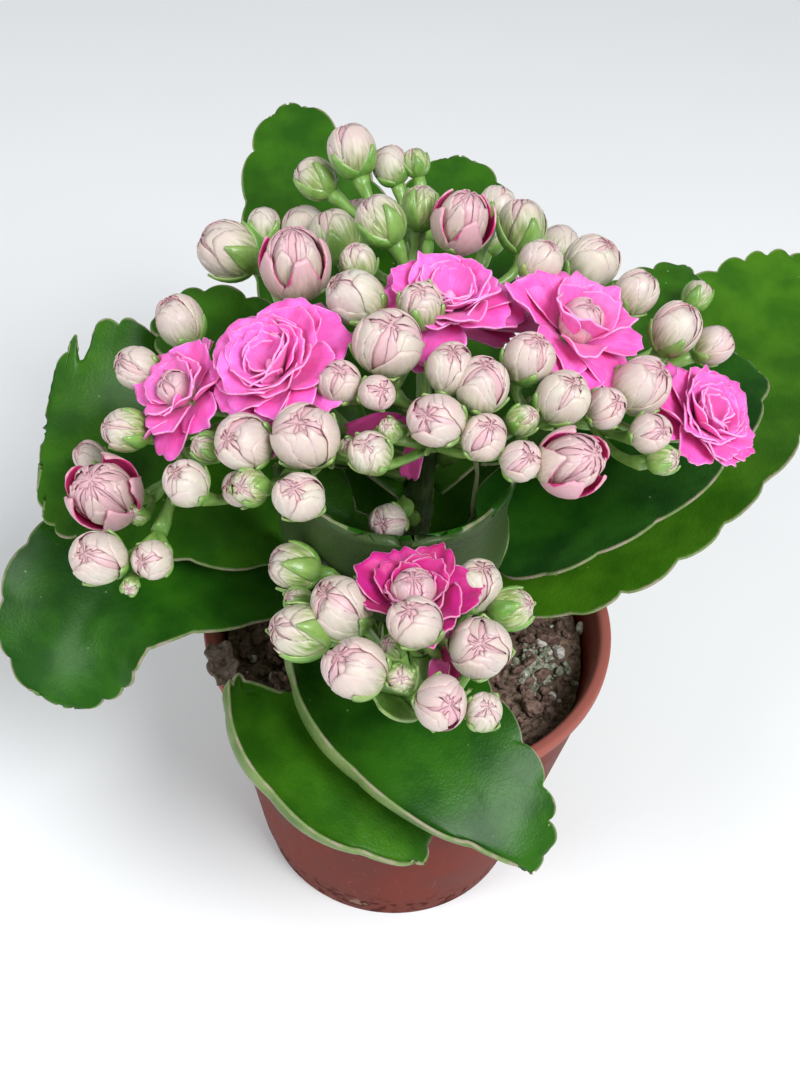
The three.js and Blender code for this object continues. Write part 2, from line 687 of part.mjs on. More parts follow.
// An open flower is one folded skin: over the heart, down, then up and over each whorl in turn.
function bloomSolid(flower, swell = 0) {
  const stand = standOf(flower, flower.dome);
  const { radius } = flower;
  const half = PETAL.thickness / 2 + swell;
  const round = (out, up) =>
    whorlRing(stand, { ...WHORLS[2], start: out, length: 0, lift: up, tilt: 0, bend: 0 }, radius, 0, 0);
  const along = (up) => stand.foot.clone().addScaledVector(stand.axis, up);
  const rings = [round(0.15 + swell / radius, 0.5 + swell / radius), round(0.12 + swell / radius, 0.26)];
  for (const whorl of WHORLS) {
    for (const share of whorl.shares) rings.push(whorlRing(stand, whorl, radius, share, half));
    for (const share of [...whorl.shares].reverse()) rings.push(whorlRing(stand, whorl, radius, share, -half));
    rings.push(round(0.13 + swell / radius, whorl.lift - 0.05));
  }
  rings.push(round(0.09 + swell / radius, -0.16 - swell / radius));
  return loftSolid(along(0.6 * radius + swell), rings, along(-0.16 * radius - swell));
}

// A bud that has begun to open, as one skin: the ball shows inside petals that stand round it.
const GUARD = { petals: 4, order: 0, start: 0.5, length: 1.45, notch: 0.6, tilt: 78, bend: -14, lift: 0.4 };

function halfOpenSolid(stand, knot, radius, swell) {
  const half = PETAL.thickness / 2 + swell;
  const petals = (share, lift) => whorlRing(stand, GUARD, radius, share, lift);
  const round = (out, up) => whorlRing(stand, { ...GUARD, start: out, length: 0, lift: up }, radius, 0, 0);
  const wide = swell / radius;
  const stalk = STALK.pedicelRadius + swell;
  const rings = [round(0.5 + wide, 1.8 + wide), round(0.8 + wide, 1.3), round(0.52 + wide, 0.6)];
  for (const share of [0.5, 1]) rings.push(petals(share, half));
  for (const share of [1, 0.5, 0]) rings.push(petals(share, -half));
  rings.push(round(stalk / radius, 0));
  const lower = knot.clone().addScaledVector(stand.axis, -0.5).sub(stand.foot);
  rings.push(round(stalk / radius, 0).map((place) => place.add(lower)));
  const top = stand.foot.clone().addScaledVector(stand.axis, 2.05 * radius + swell);
  return loftSolid(top, rings, knot.clone().addScaledVector(stand.axis, -0.5));
}

// A joint of the flower stalk, slightly thicker than the stalks that meet in it.
function knotSolid(place, radius) {
  return solidOf(new THREE.OctahedronGeometry(radius).translate(...place.toArray()));
}

const middleOf = (places) => places.reduce((sum, each) => sum.add(each), vec(0, 0, 0)).divideScalar(places.length);

// A cyme: its stalk leaves the stem, forks at a hub into sprays, and each spray carries a few flowers.
function cymeSolid(cyme, swell = 0) {
  const stands = cyme.sprays.map((spray) => spray.map((flower) => standOf(flower, cyme.dome)));
  const middle = middleOf(stands.flat().map((stand) => stand.foot.clone()));
  const hub = cyme.hub ?? middle.clone().lerp(vec(0, 0, cyme.from + 4), 0.42);
  const start = onStem(cyme.from, hub, 3 * CLEARANCE);
  const elbow = cyme.elbow ?? start.clone().lerp(hub, 0.5).addScaledVector(vec(0, 0, -1), 2);
  const parts = [
    stalkSolid(new THREE.QuadraticBezierCurve3(start, elbow, hub), STALK.radius + swell, 2),
    knotSolid(hub, 1.35 * STALK.radius + swell),
  ];
  cyme.sprays.forEach((spray, index) => {
    const feet = stands[index].map((stand) => stand.foot.clone().addScaledVector(stand.axis, -7));
    const knot = middleOf(feet).lerp(hub, 0.3);
    const rise = hub.clone().lerp(knot, 0.5).addScaledVector(vec(0, 0, -1), 1.5);
    parts.push(stalkSolid(new THREE.QuadraticBezierCurve3(hub, rise, knot), STALK.sprayRadius + swell, 2));
    parts.push(knotSolid(knot, 2 * STALK.sprayRadius + swell));
    spray.forEach((flower, k) => {
      const stand = stands[index][k];
      if (flower.kind === "open") {
        const end = stand.foot.clone().addScaledVector(stand.axis, -0.16 * flower.radius - CLEARANCE);
        parts.push(stalkSolid(new THREE.LineCurve3(knot, end), STALK.pedicelRadius + swell, 1));
      } else if (flower.kind === "half open") parts.push(halfOpenSolid(stand, knot, flower.radius, swell));
      else parts.push(budSolid(stand, knot, flower.radius, swell));
    });
  });
  return joined(parts);
}

// ---------------------------------------------------------------------------------------------- assembly
const BLOOMS = CYMES.flatMap((cyme) =>
  cyme.sprays.flat().filter((flower) => flower.kind === "open").map((flower) => ({ ...flower, dome: cyme.dome })),
);

// Cuts the room that its neighbours need out of a piece.
const clearOf = (solid, rooms) => largestBody(rooms.reduce((rest, room) => rest.subtract(room), solid));

const group = new THREE.Group();
group.add(meshOf("pot", pot(), FINISH.pot));
group.add(meshOf("soil", soil(), FINISH.soil));
group.add(meshOf("main_stem", mainStem(), FINISH.stem));
for (const each of LEAVES) group.add(meshOf(each.name, leafSolid(each), FINISH.leaf));

const rooms = [];
for (const each of BLOOMS) {
  group.add(meshOf(each.name, clearOf(bloomSolid(each), rooms), FINISH.bloom));
  rooms.push(bloomSolid(each, CLEARANCE));
}
for (const each of CYMES) {
  const whole = cymeSolid(each);
  group.add(meshOf(each.name, clearOf(whole, rooms), FINISH.head));
  rooms.push(cymeSolid(each, CLEARANCE));
}

export default group;
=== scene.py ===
import math

import bpy
import numpy as np
from mathutils import Matrix, Vector


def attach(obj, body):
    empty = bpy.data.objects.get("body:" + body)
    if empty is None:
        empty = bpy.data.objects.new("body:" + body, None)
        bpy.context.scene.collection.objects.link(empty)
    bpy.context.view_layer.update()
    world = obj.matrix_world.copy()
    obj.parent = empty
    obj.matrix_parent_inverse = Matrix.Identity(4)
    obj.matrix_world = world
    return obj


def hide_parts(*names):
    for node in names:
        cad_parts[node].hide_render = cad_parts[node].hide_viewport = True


# A double-flowered kalanchoe in its nursery pot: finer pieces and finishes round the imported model.
# Lengths are in millimetres and become metres where a mesh is made. +Z is up and -Y is the front.
# Leaves and flowers are laid out as they are seen from the standpoint in front of the pot.
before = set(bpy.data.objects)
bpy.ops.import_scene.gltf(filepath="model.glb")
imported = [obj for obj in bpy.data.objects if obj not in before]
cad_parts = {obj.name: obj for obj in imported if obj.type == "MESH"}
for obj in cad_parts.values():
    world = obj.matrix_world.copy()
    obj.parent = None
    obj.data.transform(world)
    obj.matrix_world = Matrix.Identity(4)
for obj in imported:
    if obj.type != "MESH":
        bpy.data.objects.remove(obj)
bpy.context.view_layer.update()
MM = 0.001

# ---------------------------------------------------------------------------------- driving dimensions
POT_HEIGHT = 75
RIM_RADIUS = 45
RIM_HEIGHT = 3.2
RIM_OVERHANG = 1.3
RIM_THICKNESS = 2.2
BASE_RADIUS = 32
FOOT_HEIGHT = 7
FOOT_STEP = 0.7
POT_WALL = 1.7
POT_FLOOR = 2.4
POT_ROUNDING = 0.8
DRAIN_HOLES = 4
DRAIN_RADIUS = 3.2
DRAIN_RING = 21
SOIL_TOP = 66
SOIL_GAP = 0.5
HOLLOW_SPOT = (36, -8)
HOLLOW_DEPTH = 5.0
HOLLOW_SPREAD = 60
STEM_FOOT = 45
STEM_TOP = 131
STEM_RADIUS = 3.4
STEM_TOP_RADIUS = 2.5
STEM_GAP = 0.4
STALK_RADIUS = 1.5
SPRAY_RADIUS = 0.95
PEDICEL_RADIUS = 0.75
PETIOLE_HALF_WIDTH = 2.9
LEAF_THICKNESS = 2.4
LEAF_EDGE = 1.1
LEAF_MARGIN = 3.5
LOBES_START = 0.24
SEPALS = 4
FLOOR_REACH = 4000
PERLITE_SPOTS = [(553, 686), (541, 642), (560, 650), (582, 628)]
MOSS_SPOT = (536, 666)
MOSS_SPREAD = 2.4
SCRAP_SPOT = (222, 664)
SCRAP_REACH = (5.5, 3)

# Flowers, over their radius: how tall a ball is, how it tapers to its ends, its core, the girth of a closed
# bud, and how far an open flower reaches below its middle. Then how much they lean and flatten by chance.
BALL_TALL = 1.06
BALL_TAPER = 0.85
CORE_SHARE = 0.87
BUD_GIRTH = 0.95
OPEN_DEPTH = 0.45
STRAY_LEAN = 0.2
STRAY_SQUASH = 0.06

# How finely the larger pieces are divided.
POT_SIDES = 144
SOIL_ROWS = 150
SOIL_SIDES = 260
SCRAP_GRID = (26, 18)
LUMP_GRID = (7, 10)
PETIOLE_ROWS = 7
BLADE_ROWS = 110
BLADE_COLUMNS = 41

# The standpoint: a focal length in pixels of a picture 800 wide and 1067 high, and a sensor in millimetres.
PICTURE = (800, 1067)
FOCAL = 1400
SENSOR_WIDTH = 36
AIM = np.array((-3.35, 24.47, 75))
DISTANCE = 326.6
ELEVATION = math.radians(45.17)
ROLL = math.radians(4.79)
AHEAD = np.array((0, math.cos(ELEVATION), -math.sin(ELEVATION)))
UPWARD = np.array((0, math.sin(ELEVATION), math.cos(ELEVATION)))
RIGHTWARD = np.array((1.0, 0, 0))
EYE = AIM - AHEAD * DISTANCE


# ------------------------------------------------------------------------------------------ sight lines
def vec(x, y, z):
    return np.array((x, y, z), dtype=float)


def unit(vector):
    return vector / np.linalg.norm(vector, axis=-1, keepdims=True)


def mix(a, b, share):
    return a + (b - a) * share


def rise(low, high, value):
    """From 0 below `low` to 1 above `high`, with a smooth start and end."""
    share = np.clip((value - low) / (high - low), 0, 1)
    return share * share * (3 - 2 * share)


def sight_line(spot):
    """The direction from the eye through a point of the picture."""
    x = spot[0] - PICTURE[0] / 2
    y = spot[1] - PICTURE[1] / 2
    level = math.cos(ROLL) * x + math.sin(ROLL) * y
    drop = math.cos(ROLL) * y - math.sin(ROLL) * x
    return unit(AHEAD * FOCAL + RIGHTWARD * level - UPWARD * drop)


def seen_at(spot, height):
    """The place at that height which is seen at that point of the picture."""
    line = sight_line(spot)
    return EYE + line * (height - EYE[2]) / line[2]


def seen_on_dome(spot, dome, lift):
    """The place where the sight line meets a dome, a paraboloid that falls by `drop` at its radii."""
    line = sight_line(spot)
    start = EYE - dome["top"]
    kx = dome["drop"] / dome["radii"][0] ** 2
    ky = dome["drop"] / dome["radii"][1] ** 2
    a = kx * line[0] ** 2 + ky * line[1] ** 2
    b = 2 * (kx * start[0] * line[0] + ky * start[1] * line[1]) + line[2]
    c = kx * start[0] ** 2 + ky * start[1] ** 2 + start[2] - lift
    root = math.sqrt(max(b * b - 4 * a * c, 0))
    return EYE + line * (-b - root) / (2 * a)


# ------------------------------------------------------------------------------------------ mesh making
def grid_faces(rows, columns, ring=False):
    """The quads of a grid of points, and round a ring also those from its last column to its first."""
    spans = columns if ring else columns - 1
    row, column = np.meshgrid(np.arange(rows - 1), np.arange(spans), indexing="ij")
    beside = (column + 1) % columns
    corners = [row * columns + column, row * columns + beside, (row + 1) * columns + beside]
    corners.append((row + 1) * columns + column)
    return np.stack(corners, axis=-1).reshape(-1, 4)


def grid_normals(places):
    """The normal at each point of a grid, on the side from which its columns run to the right."""
    along = np.gradient(places, axis=0)
    across = np.gradient(places, axis=1)
    normals = np.cross(across, along)
    return normals / np.maximum(np.linalg.norm(normals, axis=-1, keepdims=True), 1e-9)


def unit_grid(rows, columns):
    """How far along (0 to 1) and across (-1 to 1) each point of a grid is."""
    along = np.linspace(0, 1, rows)[:, None] * np.ones(columns)
    across = np.linspace(-1, 1, columns) * np.ones((rows, 1))
    return along, across


def round_angles(sides):
    return np.linspace(0, 2 * math.pi, sides, endpoint=False)


class Skin:
    """A mesh in the making: closed sheets and lofts, with the numbers that their finishes read.

    `shade` holds how far along (0 to 1), how near the edge (0 to 1), a chance number, and how pink or how
    much of an upper face a point is. `blade` holds millimetres across and along, for streaks and veins."""

    def __init__(self):
        self.places = []
        self.shades = []
        self.blades = []
        self.faces = []
        self.finishes = []
        self.count = 0

    def add(self, places, faces, shade, blade, finish):
        self.places.append(places.reshape(-1, 3))
        self.shades.append(shade.reshape(-1, 4))
        self.blades.append(blade.reshape(-1, 3))
        self.faces.extend((np.asarray(face) + self.count).tolist() for face in faces)
        self.finishes.extend([finish] * len(faces))
        self.count += self.places[-1].shape[0]

    def sheet(self, places, half, shade, blade, finish, under=None):
        """A thin closed sheet round a grid of places. `under` is the shade of its lower face."""
        rows, columns = places.shape[:2]
        lift = grid_normals(places) * np.broadcast_to(half, (rows, columns))[..., None]
        quads = grid_faces(rows, columns)
        below = rows * columns
        edge = [(0, c) for c in range(columns)] + [(r, columns - 1) for r in range(1, rows)]
        edge += [(rows - 1, c) for c in range(columns - 2, -1, -1)] + [(r, 0) for r in range(rows - 2, 0, -1)]
        loop = np.array([r * columns + c for r, c in edge])
        beside = np.roll(loop, -1)
        rim = np.stack([loop + below, beside + below, beside, loop], axis=-1)
        faces = np.concatenate([quads, quads[:, ::-1] + below, rim])
        shades = np.concatenate([shade.reshape(-1, 4), (shade if under is None else under).reshape(-1, 4)])
        blades = np.concatenate([blade.reshape(-1, 3)] * 2)
        self.add(np.stack([places + lift, places - lift]), faces, shades, blades, finish)

    def loft(self, rings, shade, finish):
        """A solid through rings of places, each counter-clockwise round the way they follow one another."""
        rows, columns = rings.shape[:2]
        faces = grid_faces(rows, columns, ring=True).tolist()
        faces.append(list(range(columns))[::-1])
        faces.append(list(range((rows - 1) * columns, rows * columns)))
        round_about = np.broadcast_to(np.arange(columns) * 1.0, (rows, columns))
        along = np.broadcast_to(np.arange(rows)[:, None] * 1.0, (rows, columns))
        blade = np.stack([round_about, along, np.zeros((rows, columns))], axis=-1)
        self.add(rings, faces, np.broadcast_to(shade, (rows, columns, 4)), blade, finish)

    def make(self, name, finishes, slot, *nodes):
        """Makes the piece, which stands for `nodes`, with its finishes in that order. Its `slot` is not used.
        """
        mesh = bpy.data.meshes.new(name)
        mesh.from_pydata(np.concatenate(self.places) * MM, [], self.faces)
        shade = mesh.attributes.new("shade", "FLOAT_COLOR", "POINT")
        shade.data.foreach_set("color", np.concatenate(self.shades).astype(np.float32).ravel())
        blade = mesh.attributes.new("blade", "FLOAT_VECTOR", "POINT")
        blade.data.foreach_set("vector", np.concatenate(self.blades).astype(np.float32).ravel())
        for finish in finishes:
            mesh.materials.append(finish)
        mesh.polygons.foreach_set("material_index", self.finishes)
        mesh.polygons.foreach_set("use_smooth", [True] * len(self.faces))
        mesh.update()
        piece = bpy.data.objects.new(name, mesh)
        bpy.context.scene.collection.objects.link(piece)
        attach(piece, "root")
        if nodes:
            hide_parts(*nodes)
        return piece


def bezier(points, share):
    """Places on the cubic curve of four points."""
    t = np.asarray(share, dtype=float)[..., None]
    a, b, c, d = points
    return a * (1 - t) ** 3 + 3 * b * t * (1 - t) ** 2 + 3 * c * t * t * (1 - t) + d * t**3


def bezier_heading(points, share):
    t = np.asarray(share, dtype=float)[..., None]
    a, b, c, d = points
    return unit((b - a) * (1 - t) ** 2 + 2 * (c - b) * t * (1 - t) + (d - c) * t * t)


def curve_length(points):
    steps = np.diff(bezier(points, np.linspace(0, 1, 201)), axis=0)
    return float(np.linalg.norm(steps, axis=1).sum())


def tube_rings(points, radii, sides):
    """Rings round a cubic curve, one for each radius."""
    share = np.linspace(0, 1, len(radii))
    heading = bezier_heading(points, share)
    helper = vec(1, 0, 0) if abs(heading[0][0]) < 0.7 else vec(0, 1, 0)
    beside = unit(np.cross(heading, helper))
    above = np.cross(heading, beside)
    angle = round_angles(sides)[None, :, None]
    radius = np.asarray(radii, dtype=float)[:, None, None]
    ring = beside[:, None] * np.cos(angle) + above[:, None] * np.sin(angle)
    return bezier(points, share)[:, None] + ring * radius


def turned_rings(profile, sides):
    """Rings round +Z through a profile of (radius, height) pairs."""
    angle = round_angles(sides)
    out, up = (np.array(column)[:, None] for column in zip(*profile))
    return np.stack([out * np.cos(angle), out * np.sin(angle), up + 0 * angle], axis=-1)


def rounded(corners, radius, steps=4):
    """A profile with its inner corners rounded."""
    corners = [np.array(corner, dtype=float) for corner in corners]
    points = [corners[0]]
    for before, corner, after in zip(corners, corners[1:], corners[2:]):
        reach = min(radius, 0.45 * np.linalg.norm(before - corner), 0.45 * np.linalg.norm(after - corner))
        start = corner + unit(before - corner) * reach
        end = corner + unit(after - corner) * reach
        for t in np.linspace(0, 1, steps + 1):
            points.append(start * (1 - t) ** 2 + 2 * corner * t * (1 - t) + end * t * t)
    return points + [corners[-1]]


def ripples(places, pitch, seed):
    """Smooth uneven numbers from -1 to 1 over space, with humps about `pitch` apart."""
    shift = seed * vec(1.7, 2.9, 4.3)
    x, y, z = np.moveaxis(places * (2 * math.pi / pitch) + shift, -1, 0)
    first = np.sin(0.71 * x + 1.3 * np.sin(0.43 * y + 0.3 * z))
    second = np.sin(0.67 * y - 1.1 * np.sin(0.39 * z + 0.51 * x))
    third = np.sin(0.59 * z + 1.2 * np.sin(0.47 * x - 0.37 * y))
    return (first + second + third) / 3


# ---------------------------------------------------------------------------------------- shader maths
class Number:
    """A number that changes over a surface. Python's operators on it add the Math nodes."""

    def __init__(self, paint, socket):
        self.paint = paint
        self.socket = socket

    def worked(self, operation, *values):
        links = [value.socket if isinstance(value, Number) else value for value in values]
        made = self.paint.node("ShaderNodeMath", {"operation": operation}, dict(enumerate(links)))
        return Number(self.paint, made.outputs[0])

    def __add__(self, other):
        return self.worked("ADD", self, other)

    def __sub__(self, other):
        return self.worked("SUBTRACT", self, other)

    def __rsub__(self, other):
        return self.worked("SUBTRACT", other, self)

    def __mul__(self, other):
        return self.worked("MULTIPLY", self, other)

    __radd__ = __add__
    __rmul__ = __mul__

    def band(self, low, high):
        """From 0 at `low` to 1 at `high`, smoothly. It falls where `low` is the larger."""
        sockets = {"Value": self.socket, "From Min": low, "From Max": high}
        made = self.paint.node("ShaderNodeMapRange", {"interpolation_type": "SMOOTHSTEP"}, sockets)
        return Number(self.paint, made.outputs["Result"])


class Paint:
    """A material in the making."""

    def __init__(self, name, **constants):
        self.material = bpy.data.materials.new(name)
        self.material.use_nodes = True
        self.tree = self.material.node_tree
        self.shader = self.tree.nodes["Principled BSDF"]
        for socket, value in constants.items():
            self.shader.inputs[socket.replace("_", " ")].default_value = value

    def node(self, kind, settings=None, sockets=None):
        """A node of that type, with its settings first and then the values or links of its sockets."""
        made = self.tree.nodes.new(kind)
        for setting, value in (settings or {}).items():
            setattr(made, setting, value)
        for socket, value in (sockets or {}).items():
            self.join(made.inputs[socket], value)
        return made

    def join(self, socket, value):
        source = value.socket if isinstance(value, Number) else value
        if isinstance(source, bpy.types.NodeSocket):
            self.tree.links.new(source, socket)
        else:
            socket.default_value = source

    def blend(self, share, first, second):
        """From the first colour to the second."""
        first, second = ((*c, 1) if isinstance(c, tuple) else c for c in (first, second))
        sockets = {0: share, 6: first, 7: second}
        return self.node("ShaderNodeMix", {"data_type": "RGBA"}, sockets).outputs[2]

    def marks(self):
        """The four numbers of the mesh's shade, and the place on its blade."""
        read = self.node("ShaderNodeAttribute", {"attribute_name": "shade"})
        parts = self.node("ShaderNodeSeparateColor", sockets={"Color": read.outputs["Color"]}).outputs
        numbers = [Number(self, part) for part in (*parts, read.outputs["Alpha"])]
        return numbers, self.node("ShaderNodeAttribute", {"attribute_name": "blade"}).outputs["Vector"]

    def in_space(self):
        """The place in the plant's own frame, in millimetres."""
        place = self.node("ShaderNodeTexCoord").outputs["Object"]
        return self.scaled(place, (1 / MM, 1 / MM, 1 / MM))

    def scaled(self, vector, by):
        sockets = {0: vector, 1: by}
        return self.node("ShaderNodeVectorMath", {"operation": "MULTIPLY"}, sockets).outputs[0]

    def noise(self, place, pitch, detail=2.0, twist=0.0):
        """Soft uneven numbers round one half, with humps about `pitch` apart."""
        sockets = {"Vector": place, "Scale": 1 / pitch, "Detail": detail, "Distortion": twist}
        return Number(self, self.node("ShaderNodeTexNoise", sockets=sockets).outputs["Fac"])

    def cells(self, place, pitch):
        """The distance to the nearest of points about `pitch` apart."""
        sockets = {"Vector": place, "Scale": 1 / pitch}
        return Number(self, self.node("ShaderNodeTexVoronoi", sockets=sockets).outputs["Distance"])

    def finish(self, colour, roughness, height=None, depth=0.1, **others):
        """Joins the shader's sockets. `height` raises the surface by up to `depth` millimetres."""
        self.join(self.shader.inputs["Base Color"], colour)
        self.join(self.shader.inputs["Roughness"], roughness)
        for socket, value in others.items():
            self.join(self.shader.inputs[socket.replace("_", " ")], value)
        if height is not None:
            sockets = {"Height": height, "Distance": depth * MM, "Strength": 1.0}
            bump = self.node("ShaderNodeBump", sockets=sockets)
            self.join(self.shader.inputs["Normal"], bump.outputs["Normal"])
        return self.material


# ------------------------------------------------------------------------------------------- finishes
def leaf_finish():
    """Thick glossy blade: mottled green above, pale below, with a thin dry pale margin."""
    paint = Paint("kalanchoe_leaf", Coat_Roughness=0.24, Specular_IOR_Level=0.09)
    (_, edge, chance, upper), _ = paint.marks()
    place = paint.in_space()
    mottle = paint.noise(place, 9, 3).band(0.3, 0.7)
    grain = paint.noise(place, 0.7, 3)
    fresh = paint.blend(mottle, (0.006, 0.050, 0.003), (0.018, 0.095, 0.005))
    bright = paint.blend(mottle, (0.042, 0.150, 0.003), (0.078, 0.215, 0.007))
    above = paint.blend(chance, fresh, bright)
    below = paint.blend(mottle, (0.10, 0.17, 0.045), (0.19, 0.27, 0.085))
    # Leaves of the darkest tone get a dark olive underside: painted shade, where the cup leaf's underside
    # lies under the flower head.
    below = paint.blend(chance.band(0.08, 0.0), below, (0.046, 0.078, 0.025))
    body = paint.blend(upper.band(0.45, 0.55), below, above)
    specks = paint.cells(place, 3.3).band(0.075, 0.05) * paint.noise(place, 11).band(0.5, 0.62)
    body = paint.blend(specks * 0.6, body, (0.32, 0.42, 0.20))
    dry = paint.noise(place, 3.1, 3).band(0.42, 0.6)
    margin_colour = paint.blend(dry, (0.20, 0.27, 0.10), (0.36, 0.30, 0.22))
    margin = (edge + (paint.noise(place, 1.6) - 0.5) * 0.12).band(0.86, 0.99)
    colour = paint.blend(margin * 0.75, body, margin_colour)
    dew = paint.cells(place, 0.55)
    height = grain * 0.6 + dew * 0.4 + paint.noise(place, 4, 2) * 1.5
    return paint.finish(colour, 0.44 - mottle * 0.1, height, 0.14, Coat_Weight=0.13 - margin * 0.10)


def bud_finish():
    """Folded petals: cream, blushed pink, greenish low down, with brownish pink edges."""
    paint = Paint("bud_petals", Subsurface_Weight=0.12, Subsurface_Scale=0.0015, Sheen_Weight=0.05)
    (along, edge, chance, pink), blade = paint.marks()
    streak = paint.noise(paint.scaled(blade, (1, 0.18, 1)), 0.55, 3)
    cloud = paint.noise(paint.in_space(), 3.4, 2).band(0.35, 0.7)
    cream = paint.blend(cloud, (0.64, 0.57, 0.45), (0.62, 0.51, 0.44))
    cream = paint.blend(chance * 0.35, cream, (0.60, 0.43, 0.42))
    green = paint.blend(streak.band(0.3, 0.7), (0.16, 0.27, 0.045), (0.40, 0.46, 0.18))
    low = (along + (streak - 0.5) * 0.34).band(0.62, 0.20)
    body = paint.blend(low, cream, green)
    body = paint.blend(streak.band(0.45, 0.75) * 0.25, body, (0.74, 0.67, 0.58))
    body = paint.blend(pink.band(0.0, 0.55) * 0.8, body, (0.66, 0.30, 0.40))
    body = paint.blend(pink.band(0.5, 1.0), body, (0.66, 0.020, 0.19))
    crown = (along + (streak - 0.5) * 0.06).band(0.86, 0.96)
    body = paint.blend(crown * 0.35, body, (0.42, 0.20, 0.21))
    seam = (edge + (streak - 0.5) * 0.12).band(0.80, 0.99)
    seam_colour = paint.blend(pink.band(0.3, 0.8), (0.34, 0.13, 0.15), (0.80, 0.50, 0.60))
    colour = paint.blend(seam * (0.16 + pink * 0.35 + crown * 0.5), body, seam_colour)
    height = streak + cloud * 0.4
    return paint.finish(colour, 0.5 - cloud * 0.12, height, 0.10)


def petal_finish():
    """Open petals: hot pink, paler to the heart, with fine veins and whitish toothed edges."""
    paint = Paint("open_petals", Subsurface_Weight=0.25, Subsurface_Scale=0.002, Sheen_Weight=0.1)
    (along, edge, chance, pale), blade = paint.marks()
    streak = paint.noise(paint.scaled(blade, (1, 0.12, 1)), 0.42, 3)
    cloud = paint.noise(paint.in_space(), 4, 2).band(0.3, 0.7)
    hot = paint.blend(cloud, (0.94, 0.060, 0.45), (0.96, 0.145, 0.62))
    deep = paint.blend(cloud, (0.46, 0.002, 0.14), (0.62, 0.006, 0.24))
    body = paint.blend(chance, hot, deep)
    body = paint.blend(streak.band(0.4, 0.75) * 0.25 * (1.0 - chance), body, (0.97, 0.28, 0.68))
    # Deeper magenta towards each petal's base: painted shade deep between the petals.
    body = paint.blend(along.band(0.45, 0.0) * 0.45, body, (0.72, 0.02, 0.34))
    body = paint.blend(pale, body, (0.96, 0.50, 0.74))
    rim = (edge + (streak - 0.5) * 0.3).band(0.88, 1.0)
    colour = paint.blend(rim * 0.4, body, (0.97, 0.60, 0.80))
    height = streak + paint.noise(blade, 1.6, 2) * 1.4
    return paint.finish(colour, 0.62 - cloud * 0.12, height, 0.09)


def green_finish():
    """Stalks, sepals and bracts: fleshy yellow-green with fine lengthwise veins."""
    paint = Paint("stalk_and_sepals", Subsurface_Weight=0.08, Subsurface_Scale=0.0012)
    (_, edge, chance, pale), blade = paint.marks()
    place = paint.in_space()
    cloud = paint.noise(place, 2.6, 3).band(0.3, 0.7)
    streak = paint.noise(paint.scaled(blade, (1, 0.15, 1)), 0.5, 3)
    young = paint.blend(cloud, (0.095, 0.26, 0.028), (0.17, 0.37, 0.055))
    old = paint.blend(cloud, (0.20, 0.27, 0.07), (0.34, 0.33, 0.14))
    body = paint.blend(chance * 0.7, young, old)
    body = paint.blend(streak.band(0.4, 0.75) * 0.3, body, (0.30, 0.46, 0.13))
    colour = paint.blend(edge.band(0.84, 1.0) * 0.45, body, (0.42, 0.50, 0.22))
    colour = paint.blend(pale, colour, (0.55, 0.52, 0.36))
    return paint.finish(colour, 0.42 - cloud * 0.1, streak + cloud, 0.07, Coat_Weight=0.15)


def stem_finish():
    """Darker green than the stalks, as an older stem is, and darker still with painted shade from the leaves
    and flowers round it; brownish in streaks.
    """
    paint = Paint("main_stem", Specular_IOR_Level=0.35)
    place = paint.in_space()
    cloud = paint.noise(place, 3.2, 4).band(0.3, 0.7)
    streak = paint.noise(paint.scaled(place, (1, 1, 0.2)), 0.8, 3).band(0.4, 0.7)
    body = paint.blend(cloud, (0.022, 0.060, 0.010), (0.050, 0.100, 0.022))
    colour = paint.blend(streak * 0.45, body, (0.11, 0.085, 0.05))
    return paint.finish(colour, 0.55 - cloud * 0.1, streak + cloud, 0.15)


def pot_finish():
    """Moulded terracotta-coloured plastic: satin, with turning marks, scuffs and a line of dried soil."""
    paint = Paint("pot_plastic", Specular_IOR_Level=0.05)
    place = paint.in_space()
    height = Number(paint, paint.node("ShaderNodeSeparateXYZ", sockets={0: place}).outputs["Z"])
    cloud = paint.noise(place, 14, 3).band(0.3, 0.7)
    rings = paint.noise(paint.scaled(place, (0.02, 0.02, 1)), 0.5, 2)
    body = paint.blend(cloud, (0.125, 0.019, 0.011), (0.170, 0.028, 0.017))
    # Lighter towards and over the rim: painted light on the rim's upper faces.
    body = paint.blend(height.band(66, 73) * 0.6, body, (0.46, 0.155, 0.125))
    scuffs = paint.noise(paint.scaled(place, (1, 1, 0.25)), 1.7, 4, 0.6).band(0.62, 0.74)
    body = paint.blend(scuffs * 0.12, body, (0.40, 0.16, 0.12))
    low = height.band(13, 4) * paint.noise(place, 2.2, 4).band(0.48, 0.64)
    body = paint.blend(low * 0.75, body, (0.050, 0.018, 0.012))
    salt = height.band(16, 5) * paint.noise(place, 3.7, 5, 0.4).band(0.64, 0.72)
    colour = paint.blend(salt * 0.5, body, (0.42, 0.27, 0.20))
    grain = paint.noise(place, 0.5, 2)
    relief = rings * 0.6 + grain * 0.5 + scuffs * 0.6 + low
    return paint.finish(colour, 0.42 + cloud * 0.1 + low * 0.3, relief, 0.06)


def soil_finish(name, dark, light, wet=0.0):
    """Crumbs and fibres between two shades."""
    paint = Paint(name, Specular_IOR_Level=0.3)
    place = paint.in_space()
    crumb = paint.noise(place, 1.4, 5).band(0.3, 0.7)
    fleck = paint.cells(place, 1.1).band(0.2, 0.6)
    colour = paint.blend(crumb * 0.7 + fleck * 0.3, dark, light)
    height = crumb + paint.noise(place, 0.5, 3) * 0.7 + fleck * 0.5
    return paint.finish(colour, 0.95 - crumb * wet, height, 0.35)


